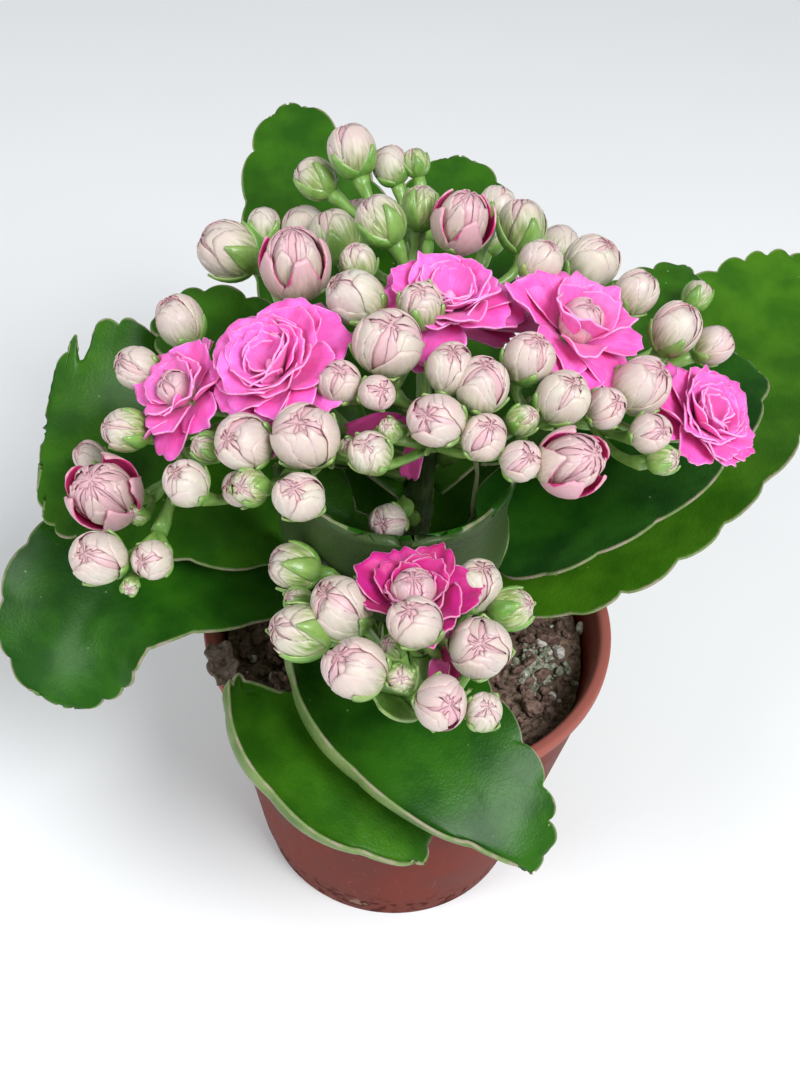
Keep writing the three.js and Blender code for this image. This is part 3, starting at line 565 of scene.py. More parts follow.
LEAF_FINISH = leaf_finish()
BUD_FINISH = bud_finish()
PETAL_FINISH = petal_finish()
GREEN_FINISH = green_finish()
STEM_FINISH = stem_finish()
POT_FINISH = pot_finish()
SOIL_FINISH = soil_finish("potting_mix", (0.050, 0.030, 0.020), (0.22, 0.145, 0.105), wet=0.3)
BARK_FINISH = soil_finish("bark_chips", (0.070, 0.040, 0.030), (0.27, 0.170, 0.135))
PERLITE_FINISH = soil_finish("perlite", (0.38, 0.34, 0.30), (0.72, 0.68, 0.63))
MOSS_FINISH = soil_finish("moss", (0.09, 0.10, 0.05), (0.42, 0.42, 0.33))
DRY_FINISH = soil_finish("dried_leaf", (0.10, 0.06, 0.05), (0.33, 0.24, 0.21))


# ----------------------------------------------------------------------------------------- pot and soil
def pot_radius(height):
    """The wall's outer radius at a height above the foot."""
    return mix(BASE_RADIUS, RIM_RADIUS - RIM_OVERHANG, height / (POT_HEIGHT - RIM_HEIGHT))


def pot():
    """The pot is hollow down to its floor, with round holes through the floor."""
    lip = POT_HEIGHT - RIM_HEIGHT
    inner = POT_WALL + FOOT_STEP
    corners = [
        (0.2, 0),
        (pot_radius(0) - FOOT_STEP, 0),
        (pot_radius(FOOT_HEIGHT) - FOOT_STEP, FOOT_HEIGHT),
        (pot_radius(FOOT_HEIGHT), FOOT_HEIGHT + FOOT_STEP),
        (pot_radius(lip - 1), lip - 1),
        (pot_radius(lip), lip),
        (RIM_RADIUS, lip + 0.3),
        (RIM_RADIUS, POT_HEIGHT),
        (RIM_RADIUS - RIM_THICKNESS, POT_HEIGHT),
        (pot_radius(lip) - POT_WALL, POT_HEIGHT - 1.5),
        (pot_radius(FOOT_HEIGHT) - inner, FOOT_HEIGHT),
        (pot_radius(POT_FLOOR) - inner, POT_FLOOR),
        (0.2, POT_FLOOR),
    ]
    skin = Skin()
    skin.loft(turned_rings(rounded(corners, POT_ROUNDING), POT_SIDES), np.zeros(4), 0)
    piece = skin.make("pot_body", [POT_FINISH], "pot_plastic", "pot")
    for k in range(DRAIN_HOLES):
        angle = 2 * math.pi * (k + 0.5) / DRAIN_HOLES
        hole = Skin()
        rings = turned_rings([(DRAIN_RADIUS, -1), (DRAIN_RADIUS, POT_FLOOR + 1)], 32)
        hole.loft(rings + vec(math.cos(angle), math.sin(angle), 0) * DRAIN_RING, np.zeros(4), 0)
        cut_hole(piece, hole)


def cut_hole(piece, hole):
    """Cuts a loft out of a piece."""
    mesh = bpy.data.meshes.new("hole")
    mesh.from_pydata(np.concatenate(hole.places) * MM, [], hole.faces)
    tool = bpy.data.objects.new("hole", mesh)
    bpy.context.scene.collection.objects.link(tool)
    cut = piece.modifiers.new("hole", "BOOLEAN")
    cut.operation = "DIFFERENCE"
    cut.object = tool
    bpy.context.view_layer.objects.active = piece
    bpy.ops.object.modifier_apply(modifier=cut.name)
    bpy.data.objects.remove(tool)
    bpy.data.meshes.remove(mesh)


def soil_reach(height):
    return pot_radius(height) - FOOT_STEP - POT_WALL - SOIL_GAP


def soil_height(x, y):
    """The height of the lumpy surface. It falls to a hollow by the wall at the right."""
    places = np.stack([x, y, 0 * x], axis=-1)
    lumps = 1.5 * ripples(places, 15, 1) + 1.1 * ripples(places, 6.5, 2) + 0.6 * ripples(places, 2.9, 3)
    crumbs = 0.35 * ripples(places, 1.5, 4) + 0.2 * ripples(places, 0.9, 5)
    off = (x - HOLLOW_SPOT[0]) ** 2 + (y - HOLLOW_SPOT[1]) ** 2
    hollow = -HOLLOW_DEPTH * np.exp(-off / HOLLOW_SPREAD)
    return SOIL_TOP + lumps + crumbs + hollow


def soil():
    """One block with a lumpy top and a blind hole round the foot of the stem."""
    bore = STEM_RADIUS + STEM_GAP
    reach = soil_reach(SOIL_TOP)
    share = np.linspace(0, 1, SOIL_ROWS)[1:]
    angle = round_angles(SOIL_SIDES)
    out = mix(bore, reach, share)[::-1, None]
    x = out * np.cos(angle)
    y = out * np.sin(angle)
    surface = np.stack([x, y, soil_height(x, y)], axis=-1)
    foot = POT_FLOOR + 0.4
    side = turned_rings([(soil_reach(foot) - 1.5, foot), (reach, SOIL_TOP - 7)], SOIL_SIDES)
    hole = turned_rings([(bore, SOIL_TOP - 6), (bore, STEM_FOOT - STEM_GAP)], SOIL_SIDES)
    skin = Skin()
    skin.loft(np.concatenate([side, surface, hole]), np.zeros(4), 0)
    skin.make("potting_mix", [SOIL_FINISH], "potting_soil", "soil")


def lump(skin, place, size, seed):
    """An uneven pebble or chip, whose size is (long, wide, thick), turned any way."""
    rng = np.random.default_rng(seed)
    rows, sides = LUMP_GRID
    theta = np.linspace(0.25, math.pi - 0.25, rows)[:, None]
    angle = round_angles(sides)
    out = np.sin(theta)
    ball = np.stack([out * np.cos(angle), out * np.sin(angle), -np.cos(theta) + 0 * angle], axis=-1)
    ball *= (1 + 0.28 * ripples(ball, 2.2, seed))[..., None]
    turn = np.linalg.qr(rng.normal(size=(3, 3)))[0]
    turn *= np.sign(np.linalg.det(turn))
    skin.loft((ball * np.asarray(size) / 2) @ turn.T + place, np.zeros(4), 0)


def scatter(name, finish, count, sizes, flatness, seed, near=None, spots=()):
    """Chips or pebbles half sunk in the soil: all over it or only `near` a place, and at some `spots`."""
    rng = np.random.default_rng(seed)
    skin = Skin()
    for k in range(count + len(spots)):
        if k >= count:
            x, y = seen_at(spots[k - count], SOIL_TOP)[:2]
        elif near is None:
            out = math.sqrt(rng.uniform(0.02, 1)) * (soil_reach(SOIL_TOP) - 2.5)
            angle = rng.uniform(0, 2 * math.pi)
            x, y = out * math.cos(angle), out * math.sin(angle)
        else:
            x, y = seen_at(near, SOIL_TOP)[:2] + rng.normal(0, MOSS_SPREAD, 2)
        size = sizes[1] * 1.3 if k >= count else rng.uniform(*sizes)
        place = vec(x, y, soil_height(np.array(x), np.array(y)) + 0.18 * size)
        lump(skin, place, (size, size * rng.uniform(0.5, 0.9), size * flatness), seed + k)
    skin.make(name, [finish], "potting_soil")


def dried_scrap():
    """A crumpled end of a dead leaf on the rim."""
    rows, columns = SCRAP_GRID
    s = np.linspace(-1, 1, rows)[:, None] * np.ones(columns)
    v = np.linspace(-1, 1, columns) * np.ones((rows, 1))
    outline = 1 - 0.35 * s**2 + 0.12 * np.sin(7 * s)
    middle = seen_at(SCRAP_SPOT, POT_HEIGHT + 1.2)
    flat = middle + vec(0.35, -0.94, 0) * (SCRAP_REACH[0] * s)[..., None]
    flat = flat + vec(0.94, 0.35, 0) * (SCRAP_REACH[1] * v * outline)[..., None]
    lift = 1.1 * ripples(flat, 5, 7) + 0.4 * ripples(flat, 2, 8) + 0.9 * v**2
    skin = Skin()
    places = flat + vec(0, 0, 1) * lift[..., None]
    skin.sheet(places, 0.3, np.zeros((rows, columns, 4)), np.zeros((rows, columns, 3)), 0)
    skin.make("dried_scrap", [DRY_FINISH], "potting_soil")


def stem_radius(height):
    return mix(STEM_RADIUS, STEM_TOP_RADIUS, (height - STEM_FOOT) / (STEM_TOP - STEM_FOOT))


def main_stem():
    """An upright fleshy stem, swollen at its two leaf joints and ringed by old leaf scars."""
    heights = np.linspace(STEM_FOOT, STEM_TOP, 120)
    joints = 0.5 * np.exp(-((heights - SOIL_TOP - 8) / 1.6) ** 2)
    joints += 0.5 * np.exp(-((heights - STEM_TOP + 24) / 1.6) ** 2)
    scars = 0.12 * np.cos(heights * 1.1) ** 8
    profile = [(stem_radius(height) + extra, height) for height, extra in zip(heights, joints - scars)]
    profile.append((0.5 * STEM_TOP_RADIUS, STEM_TOP + 1.2))
    skin = Skin()
    skin.loft(turned_rings(profile, 40), np.array((0.5, 0, 0.6, 0)), 0)
    skin.make("stem_body", [STEM_FINISH], "stem", "main_stem")


def on_stem(height, towards, gap):
    """A place just off the stem's skin, at that height, on the side that faces `towards`."""
    out = unit(vec(towards[0], towards[1], 0)) * (stem_radius(height) + gap)
    return vec(out[0], out[1], height)


# ----------------------------------------------------------------------------------------------- leaves
def margin(belly=0.58, base=1.0, tip=1.0, share=1.0):
    """A side of a leaf: where it is widest, how full before and after that, and its share of the width."""
    return {"belly": belly, "base": base, "tip": tip, "share": share}


def leaf(name, height, elbow, bend, tip, **own):
    """A leaf on a cubic rib that leaves the stem at a height. Each side may roll up at its margin.

    Its `tone` runs from 0, the darkest, to 1. Its `tear` is a notch: the side it is on (1 or -1), its place
    and its width along that side (0 to 1), and its depth."""
    details = {
        "name": name,
        "rib": (on_stem(height, elbow, 0.7), elbow, bend, tip),
        "half_width": 20,
        "petiole": 9,
        "left": margin(),
        "lobes": 5.5,
        "lobe_depth": 1.8,
        "curl": 0.5,
        "wave": 0.8,
        "roll": (0.0, 0.0),
        "tone": 0.3,
        "face": vec(0, 0, 1),
        "tear": None,
    }
    details.update(own)
    details.setdefault("right", details["left"])
    details.setdefault("tip_face", details["face"])
    details["length"] = curve_length(details["rib"])
    return details


LEAVES = [
    leaf("leaf_front_low", 71, seen_at((330, 615), 83), seen_at((226, 745), 90), seen_at((422, 862), 69),
         half_width=20, petiole=42, left=margin(0.12, 0.6, 2.0, 1.1), right=margin(0.4),
         face=vec(0.1, -0.1, 1), roll=(1.35, 0), tone=0.35),
    leaf("leaf_front_high", 79, seen_at((390, 625), 91), seen_at((415, 745), 95), seen_at((530, 872), 74),
         half_width=25, petiole=24, curl=0.35, left=margin(0.1, 0.6, 2.8, 1.2),
         right=margin(0.62, 0.6, 0.75, 0.59), face=vec(0, -0.3, 1), roll=(1.35, 0), tone=0.1),
    # The cup leaf's darkest tone is painted shade from the flower head above it.
    leaf("leaf_front_cup", 95, vec(-2, -24, 88), vec(-4, -27, 106), seen_at((406, 541), 130),
         half_width=34, curl=1.5, left=margin(0.82, 0.8, 0.3), face=vec(0, 0.2, 1), tip_face=vec(-0.14, 1, 0),
         tone=0.0),
    leaf("leaf_left_low", 83, seen_at((240, 588), 98), seen_at((88, 515), 106), seen_at((62, 705), 81),
         half_width=19, petiole=16, left=margin(0.66, 1, 0.8, 1.12), right=margin(0.66, 1, 1, 0.92),
         lobes=6.5, lobe_depth=1.1, face=vec(0.1, -0.2, 1), tone=0.1),
    leaf("leaf_left_high", 97, seen_at((270, 490), 106), seen_at((150, 440), 115), seen_at((46, 432), 118),
         half_width=25, left=margin(0.78, 1, 0.52), right=margin(0.75, 1, 0.55), lobes=6.5,
         face=vec(0.3, -0.5, 1), tone=0.3, tear=(1, 0.722, 0.030, 7)),
    leaf("leaf_left_top", 112, seen_at((320, 420), 126), seen_at((240, 360), 132), seen_at((165, 304), 136),
         half_width=13, face=vec(0.3, -0.5, 1), tone=0.3),
    leaf("leaf_right_low", 86, seen_at((610, 548), 98), seen_at((682, 380), 107), seen_at((843, 292), 115),
         half_width=25, left=margin(0.42, 0.7, 1.05, 1.1), right=margin(0.72, 0.8, 0.42, 0.93), lobes=9.5,
         lobe_depth=2.4, face=vec(-0.3, -0.5, 1), tone=0.58),
    # This leaf's darkest tone is painted shade from the flowers over it.
    leaf("leaf_right_high", 94, seen_at((595, 510), 108), seen_at((675, 424), 118), seen_at((742, 360), 124),
         half_width=17, left=margin(0.34, 0.35, 0.9, 1.2), right=margin(0.5, 0.4, 0.6),
         face=vec(-0.4, -0.3, 1), tone=0.0),
    leaf("leaf_right_top", 112, seen_at((540, 400), 122), seen_at((625, 330), 126), seen_at((686, 268), 130),
         half_width=10, left=margin(0.4, 0.7, 0.9, 1.3), right=margin(), face=vec(-0.3, -0.5, 1), tone=0.3),
    leaf("leaf_back_left", 106, seen_at((370, 380), 111), seen_at((320, 270), 120), seen_at((288, 106), 143),
         half_width=18, face=vec(0, -0.8, 1), tone=0.3),
    leaf("leaf_back_right", 99, seen_at((430, 380), 107), seen_at((455, 260), 114), seen_at((460, 158), 129),
         half_width=17, face=vec(0, -0.5, 1), tone=0.3),
    leaf("leaf_back_low_left", 84, seen_at((360, 450), 94), seen_at((330, 410), 98), seen_at((292, 380), 92),
         half_width=18),
    leaf("leaf_back_low_right", 78, seen_at((480, 450), 88), seen_at((530, 410), 94), seen_at((570, 380), 88),
         half_width=18),
]


def leaf_outline(each, t, side):
    """The flat margin on one side (1 or -1), from the petiole's end to the tip, smooth and with its lobes."""
    margin_here = each["left"] if side > 0 else each["right"]
    span = each["length"] - each["petiole"]
    widest = each["petiole"] + span * margin_here["belly"]
    half_width = each["half_width"] * margin_here["share"]
    angle = math.pi * (1 - t)
    near_stem = angle > math.pi / 2
    reach = np.where(near_stem, widest - each["petiole"], each["length"] - widest)
    x = widest + reach * np.cos(angle)
    y = half_width * np.sin(angle) ** np.where(near_stem, margin_here["base"], margin_here["tip"])
    outward = unit(np.stack([half_width * np.cos(angle), reach * np.sin(angle) + 1e-6], axis=-1))
    along = (t - LOBES_START) / (1 - LOBES_START)
    warped = along + 0.018 * np.sin(11 * along + 2 * side) * np.sin(math.pi * along)
    lobe = np.where(along > 0, np.abs(np.sin(math.pi * each["lobes"] * warped)) ** 0.6 - 0.6, -0.3)
    lobe = lobe * each["lobe_depth"]
    margin_y = y + outward[:, 1] * lobe
    if each["tear"] and each["tear"][0] == side:
        _, at, wide, deep = each["tear"]
        margin_y = margin_y - deep * np.exp(-(((t - at) / wide) ** 4))
    return x, np.maximum(y, 0), x + outward[:, 0] * lobe, np.maximum(margin_y, 0)


def leaf_grid(each):
    """Places in millimetres along and across the flat blade: rows run out from the stem."""
    petiole = np.linspace(0, each["petiole"], PETIOLE_ROWS + 1)[:-1]
    t = mix(0.015, 0.993, np.linspace(0, 1, BLADE_ROWS))
    u = np.sin(math.pi / 2 * np.linspace(-1, 1, BLADE_COLUMNS))
    outlines = {side: leaf_outline(each, t, side) for side in (1, -1)}
    middle = (outlines[1][0] + outlines[-1][0])[:, None] / 2
    smooth_x, smooth_y, margin_x, margin_y = (
        np.stack([outlines[1 if value > 0 else -1][k] for value in u], axis=1) for k in range(4)
    )
    share = np.abs(u)
    x = middle + (smooth_x - middle) * share + (margin_x - smooth_x) * share**4
    y = share * smooth_y + (margin_y - smooth_y) * share**4
    neck = PETIOLE_HALF_WIDTH * rise(0.75, 0.3, middle / each["length"]) * share
    y = np.sign(u) * (y**4 + neck**4) ** 0.25
    neck_x = np.broadcast_to(petiole[:, None], (PETIOLE_ROWS, BLADE_COLUMNS))
    neck_y = np.broadcast_to(u * PETIOLE_HALF_WIDTH, (PETIOLE_ROWS, BLADE_COLUMNS))
    return np.concatenate([neck_x, x]), np.concatenate([neck_y, y]), u


def leaf_places(each, x, y, u):
    """The blade in space: bent along its rib, curled across it, and rolled up at its margins."""
    share = x / each["length"]
    within = np.clip(share, 0, 1)
    along = bezier_heading(each["rib"], within)
    facing = mix(each["face"], each["tip_face"], within[..., None])
    heading = bezier_heading(each["rib"], 0.1 + 0.8 * within)
    side = unit(np.cross(heading, facing))
    normal = unit(np.cross(side, along))
    middle = (y[:, 1:] + y[:, :-1]) / 2
    u_middle = (u[1:] + u[:-1]) / 2
    roll = np.where(u_middle > 0, each["roll"][0], -each["roll"][1]) * rise(0.62, 1.0, np.abs(u_middle))
    blade_only = rise(0.12, 0.3, x[:, 1:] / each["length"])
    slope = each["curl"] * middle / each["half_width"] + roll * blade_only
    step = np.diff(y, axis=1)
    zero = np.zeros((len(x), 1))
    level = np.concatenate([zero, np.cumsum(np.cos(slope) * step, axis=1)], axis=1)
    lift = np.concatenate([zero, np.cumsum(np.sin(slope) * step, axis=1)], axis=1)
    centre = u.size // 2
    level -= level[:, centre : centre + 1]
    lift -= lift[:, centre : centre + 1]
    wave = each["wave"] * np.sin(2 * math.pi * 1.4 * share + np.where(y > 0, 0, 2))
    lift += wave * (y / each["half_width"]) ** 2
    over = (share - within)[..., None] * each["length"]
    return bezier(each["rib"], within) + along * over + side * level[..., None] + normal * lift[..., None]


def make_leaf(each, order):
    """A blade that is thick at its rib, thin at its margin and grooved along its upper face."""
    x, y, u = leaf_grid(each)
    places = leaf_places(each, x, y, u)
    places = places + grid_normals(places) * (0.35 * ripples(places, 17, order))[..., None]
    reach = np.abs(y[:, -1:]) * 0.5 + np.abs(y[:, :1]) * 0.5
    half = mix(LEAF_THICKNESS, LEAF_EDGE, u**2) / 2 * np.sqrt(1 - 0.8 * u**8) * np.ones_like(x)
    half *= mix(0.55, 1, rise(1, 6, reach))
    groove = np.exp(-((y / 1.1) ** 2)) * 0.3 * rise(1.0, 0.7, x / each["length"])
    edge = np.clip(1 - (1 - np.abs(u)) * reach / LEAF_MARGIN, 0, 1)
    shade = np.stack([x / each["length"], edge, each["tone"] + 0 * x, 1 + 0 * x], axis=-1)
    under = shade.copy()
    under[..., 3] = 0
    blade = np.stack([y, x, 10.0 * order + 0 * x], axis=-1)
    places = places - grid_normals(places) * (0.3 * groove)[..., None]
    skin = Skin()
    skin.sheet(places, half - 0.3 * groove, shade, blade, 0, under)
    skin.make(each["name"] + "_blade", [LEAF_FINISH], "leaf", each["name"])


# ---------------------------------------------------------------------------------------------- flowers
MAIN_DOME = {"top": vec(1, 4, 163), "radii": (62, 58), "drop": 22, "focus": vec(1, 4, 92)}
FRONT_DOME = {"top": vec(5, -50, 127), "radii": (34, 34), "drop": 8, "focus": vec(4, -38, 88)}
LEFT_DOME = {"top": vec(-56, -28, 130), "radii": (26, 26), "drop": 5, "focus": vec(-44, -12, 98)}
INNER_DOME = {"top": vec(-5, -16, 119), "radii": (20, 20), "drop": 5, "focus": vec(-3, 0, 100)}


def bud(across, down, radius, lift=0, lean=(0, 0), **looks):
    """A flower at a point of the picture. `lift` raises it off its dome, `lean` tips it right and upwards."""
    return {"kind": "bud", "spot": (across, down), "radius": radius, "lift": lift, "lean": lean, **looks}


def half_open(*place, **looks):
    return {**bud(*place, **looks), "kind": "half open"}


def bloom(name, *place, **looks):
    return {**bud(*place, **looks), "kind": "open", "name": name}


def far_buds(bearings, radius):
    """Buds round the far side of the main head, which stand on the dome at given bearings."""
    made = []
    for bearing in bearings:
        share = 0.94 + 0.05 * math.sin(2.4 * bearing)
        size = radius + 0.8 * math.cos(1.7 * bearing)
        place = {"bearing": math.radians(bearing), "share": share, "lift": -6 + 1.5 * math.sin(bearing)}
        made.append({"kind": "bud", "radius": size, "lean": (0, 0), **place})
    return made


GREEN = {"green": 1.0}
HALF_GREEN = {"green": 0.5}

# Each cyme's height on the stem, its dome, and its flowers spray by spray. Straps and leaflets: where the
# tip is seen, its height and its half width. Threads: where each end is seen, and its height.
CYMES = [
    {
        "name": "cyme_back",
        "from": 124,
        "dome": MAIN_DOME,
        "sprays": [
            [bud(352, 150, 5.2, -2), bud(390, 165, 3.9, -4), bud(416, 162, 2.8, -7, **GREEN),
             bud(315, 178, 4.3, -4, (-0.9, 0), **HALF_GREEN)],
            [bud(335, 235, 5.4, -7, **HALF_GREEN), bud(358, 262, 3.5, -4, **HALF_GREEN),
             bud(380, 220, 4.8, 1, (-0.7, 0.4), **HALF_GREEN), bud(421, 207, 4.2, **GREEN)],
            [half_open(463, 220, 6.0), bud(497, 205, 4.0, -5), bud(522, 225, 5.2, -2, **HALF_GREEN),
             bud(541, 262, 4.2, -1)],
            far_buds([66, 80, 94, 108, 122], 4.4),
            [bloom("bloom_back", 450, 290, 11.7, 1)],
        ],
        "straps": [(543, 323, 145, 4.2), (531, 308, 146, 3.0), (508, 342, 143, 3.2)],
    },
    {
        "name": "cyme_left",
        "from": 121,
        "dome": MAIN_DOME,
        "sprays": [
            [bud(228, 250, 5.9), bud(264, 225, 3.8, -5), half_open(295, 262, 6.7),
             bud(355, 297, 5.2, 0, (-0.5, -0.3))],
            [bud(180, 320, 5.0, -6), bud(137, 368, 4.2), bud(125, 430, 4.1, -2, **HALF_GREEN),
             bud(207, 447, 2.7, -2, **GREEN)],
            [bud(186, 483, 4.1), bud(250, 487, 3.2, -2, **GREEN), bud(240, 489, 3.2, -7), bud(299, 497, 4.4)],
            [bud(243, 442, 5.1, 1), bud(305, 436, 5.9, 1), bud(350, 448, 1.9, -4, **GREEN)],
            [bloom("bloom_left", 268, 360, 12.2, 1), bloom("bloom_left_outer", 175, 388, 9.6, -1)],
        ],
    },
    {
        "name": "cyme_middle",
        "from": 128,
        "dome": MAIN_DOME,
        "sprays": [
            [bud(388, 343, 6.1, 2), bud(421, 305, 4.1, 2, **HALF_GREEN), bud(340, 382, 3.8),
             bud(377, 393, 3.2, 1)],
            [bud(450, 368, 4.4, 1), bud(482, 385, 4.8, 1), bud(436, 420, 4.9, 1)],
            [bud(370, 453, 3.8, -2, **HALF_GREEN), bud(390, 430, 2.1, -3, **GREEN), bud(484, 437, 4.1, -1),
             bud(523, 420, 2.7, -2, **GREEN)],
        ],
        "straps": [(348, 434, 141, 2.6), (368, 442, 140, 2.4), (408, 478, 133, 1.9)],
        "leaflets": [(350, 455, 142, 1.7), (394, 440, 139, 1.9), (404, 408, 143, 1.6), (497, 455, 136, 1.6)],
        "threads": [(((476, 462), 131), ((474, 516), 116))],
    },
    {
        "name": "cyme_right",
        "from": 122,
        "dome": MAIN_DOME,
        "sprays": [
            [bud(592, 262, 5.3, -1), bud(636, 292, 4.3), bud(697, 296, 3.3, -3, **HALF_GREEN),
             bud(713, 345, 3.9, 0, (0.6, 0.3))],
            [bud(676, 328, 5.0), bud(642, 385, 5.3), bud(651, 433, 3.7), bud(664, 460, 2.6, -1, **GREEN)],
            [bud(529, 358, 4.6), bud(563, 398, 4.8), bud(606, 408, 3.7, -1)],
            [half_open(573, 462, 6.0), bud(521, 461, 3.6, -1)],
            [bloom("bloom_right", 583, 318, 12.6, 1),
             bloom("bloom_right_outer", 712, 413, 10.4, -2, (-0.28, 0))],
        ],
    },
    {
        "name": "cyme_inner",
        "from": 108,
        "hub": vec(-3, -9, 116),
        "elbow": vec(-2, -6, 110),
        "dome": INNER_DOME,
        "sprays": [[bud(388, 522, 3.8)]],
    },
    {
        "name": "cyme_left_low",
        "from": 118,
        "hub": seen_at((185, 458), 132),
        "elbow": seen_at((310, 440), 126),
        "dome": LEFT_DOME,
        "sprays": [
            [half_open(103, 493, 6.9, 1), bud(90, 458, 3.4, -5), bud(137, 515, 1.9, -2, **GREEN)],
            [bud(98, 558, 5.1), bud(152, 560, 3.7), bud(130, 587, 1.6, -2, **GREEN)],
        ],
    },
    {
        "name": "cyme_front",
        "from": 88,
        "hub": vec(5, -52, 106),
        "elbow": vec(2, -34, 91),
        "dome": FRONT_DOME,
        "sprays": [
            [bud(293, 567, 4.6, 0, (-0.8, 0), **HALF_GREEN), bud(341, 607, 5.7, 1),
             bud(300, 632, 5.3, -1, (-0.5, 0), **HALF_GREEN), bud(298, 600, 2.5, -4, **GREEN)],
            [bud(355, 668, 5.6), bud(401, 678, 2.6, -2, **GREEN), bud(392, 648, 2.2, -2, **GREEN)],
            [bud(415, 622, 4.7, 6), bud(477, 585, 4.8), bud(512, 609, 3.8, -1, (0.8, 0), **GREEN)],
            [bud(480, 648, 5.6), bud(441, 703, 4.7), bud(484, 712, 3.3, **HALF_GREEN)],
            [bloom("bloom_front", 414, 595, 8.8, 2)],
        ],
        "straps": [(466, 634, 122, 3.2), (440, 660, 119, 1.8)],
        "leaflets": [(376, 702, 116, 3.3), (440, 692, 121, 1.7), (470, 690, 121, 1.5), (318, 588, 119, 2.2)],
    },
]


def round_dome(flower, dome):
    """The place of a flower that is given by its bearing round a dome."""
    out = flower["share"] * np.array(dome["radii"])
    x = out[0] * math.cos(flower["bearing"])
    y = out[1] * math.sin(flower["bearing"])
    return dome["top"] + vec(x, y, flower["lift"] - dome["drop"] * flower["share"] ** 2)


class Stand:
    """Where a flower stands: its middle, the way it points, the foot of its ball, and its turn."""

    def __init__(self, flower, dome):
        is_open = flower["kind"] == "open"
        if "spot" in flower:
            self.centre = seen_on_dome(flower["spot"], dome, flower["lift"])
        else:
            self.centre = round_dome(flower, dome)
        away = unit(self.centre - dome["focus"])
        rng = np.random.default_rng([int(abs(value) * 10) for value in self.centre])
        lean = np.array(flower["lean"]) + rng.normal(0, 0 if is_open else STRAY_LEAN, 2)
        squash = rng.uniform(-STRAY_SQUASH, STRAY_SQUASH)
        self.girth = (1 + squash, 1 - squash, 1) if flower["kind"] == "bud" else (1, 1, 1)
        self.axis = unit(away + RIGHTWARD * lean[0] + UPWARD * lean[1])
        self.foot = self.centre - self.axis * ((OPEN_DEPTH if is_open else BALL_TALL) * flower["radius"])
        cross = np.cross((0, 0, 1), self.axis)
        skew = np.array([[0, -cross[2], cross[1]], [cross[2], 0, -cross[0]], [-cross[1], cross[0], 0]])
        self.turn = np.eye(3) + skew + skew @ skew / (1 + self.axis[2])

    def put(self, places):
        """Takes places round +Z to the flower, which is a little wider one way than the other."""
        return places * self.girth @ self.turn.T + self.foot


# The finishes of a flower piece, in their order on its mesh.
BUD, GREENS, PETALS = range(3)
FLOWER_FINISHES = [BUD_FINISH, GREEN_FINISH, PETAL_FINISH]


def on_ball(radius, theta, bearing, swell, tall):
    """A place on a bud's ball. `theta` runs from 0 at its foot to pi at its top."""
    out = radius * np.sin(theta) ** BALL_TAPER * swell
    up = tall * radius * (1 - np.cos(theta) * swell)
    return np.stack([out * np.cos(bearing), out * np.sin(bearing), up], axis=-1)


def shell(skin, stand, radius, petal, finish, rows=12, columns=11):
    """One petal or sepal that hugs a ball from its root to its tip, which are angles from the ball's foot.

    Its `swell(s, v)` is how far off the ball it stands, and its `shape(s)` is its outline."""
    s, v = unit_grid(rows, columns)
    chance = petal["chance"]
    tooth = petal.get("ragged", 0) * np.sin(7 * v + 9 * chance) * s**4
    theta = mix(petal["root"], petal["tip"], s * (1 - petal["round"] * v**2 * s) + tooth)
    theta = np.clip(theta, 0.02, math.pi - 0.03)
    reach = petal["wide"] * radius * petal["shape"](s)
    spread = np.clip(reach * v / (radius * np.sin(theta) ** BALL_TAPER), -1.5, 1.5)
    off = petal["swell"](s, v)
    places = stand.put(on_ball(radius, theta, petal["bearing"] + spread, off, petal["tall"]))
    edge = np.maximum(np.abs(v) ** 6, rise(0.86, 1.0, s))
    ripe = theta / math.pi - petal.get("green", 0)
    outer = np.stack([ripe, edge, chance + 0 * s, petal["pink"][0] + 0.1 * s**4], axis=-1)
    inner = outer.copy()
    inner[..., 3] = petal["pink"][1]
    blade = np.stack([reach * v, radius * theta, 40 * chance + petal["bearing"] + 0 * s], axis=-1)
    skin.sheet(places, petal["half"] * (1 - 0.5 * np.abs(v) ** 4), outer, blade, finish, inner)


def petal_shape(s):
    return np.sin(math.pi * (0.22 + 0.70 * s)) ** 0.4


def sepal_shape(s):
    return (1 - s**1.6 * 0.97) * (0.8 + 0.4 * s)


def ball_core(skin, stand, radius, pink, tall):
    """The solid middle of a ball, which shows only between its petals."""
    theta = np.linspace(0.12, math.pi - 0.12, 12)[:, None]
    bearing = round_angles(20)
    places = stand.put(on_ball(radius, theta + 0 * bearing, bearing + 0 * theta, CORE_SHARE, tall))
    skin.loft(places, np.array((0.8, 0.75, 0.9, pink)), BUD)


# Whorls of a ball of petals: petals, half width, where their tips end, how far off, how ragged, extra blush.
SHUT = [
    (3, 0.98, 0.79, 0.975, 0.014, 0),
    (3, 1.00, 0.87, 0.945, 0.018, 0),
    (3, 0.82, 0.912, 0.925, 0.022, 0.03),
    (4, 0.48, 0.95, 0.910, 0.030, 0.05),
    (4, 0.24, 0.98, 0.90, 0.040, 0.18),
]
OPENING = [
    (5, 0.62, 0.62, 1.00, 0.020, 0.02),
    (5, 0.58, 0.71, 0.975, 0.025, 0.05),
    (5, 0.50, 0.79, 0.95, 0.030, 0.10),
    (5, 0.42, 0.86, 0.93, 0.040, 0.14),
    (4, 0.32, 0.92, 0.915, 0.050, 0.20),
    (4, 0.22, 0.97, 0.905, 0.050, 0.26),
]


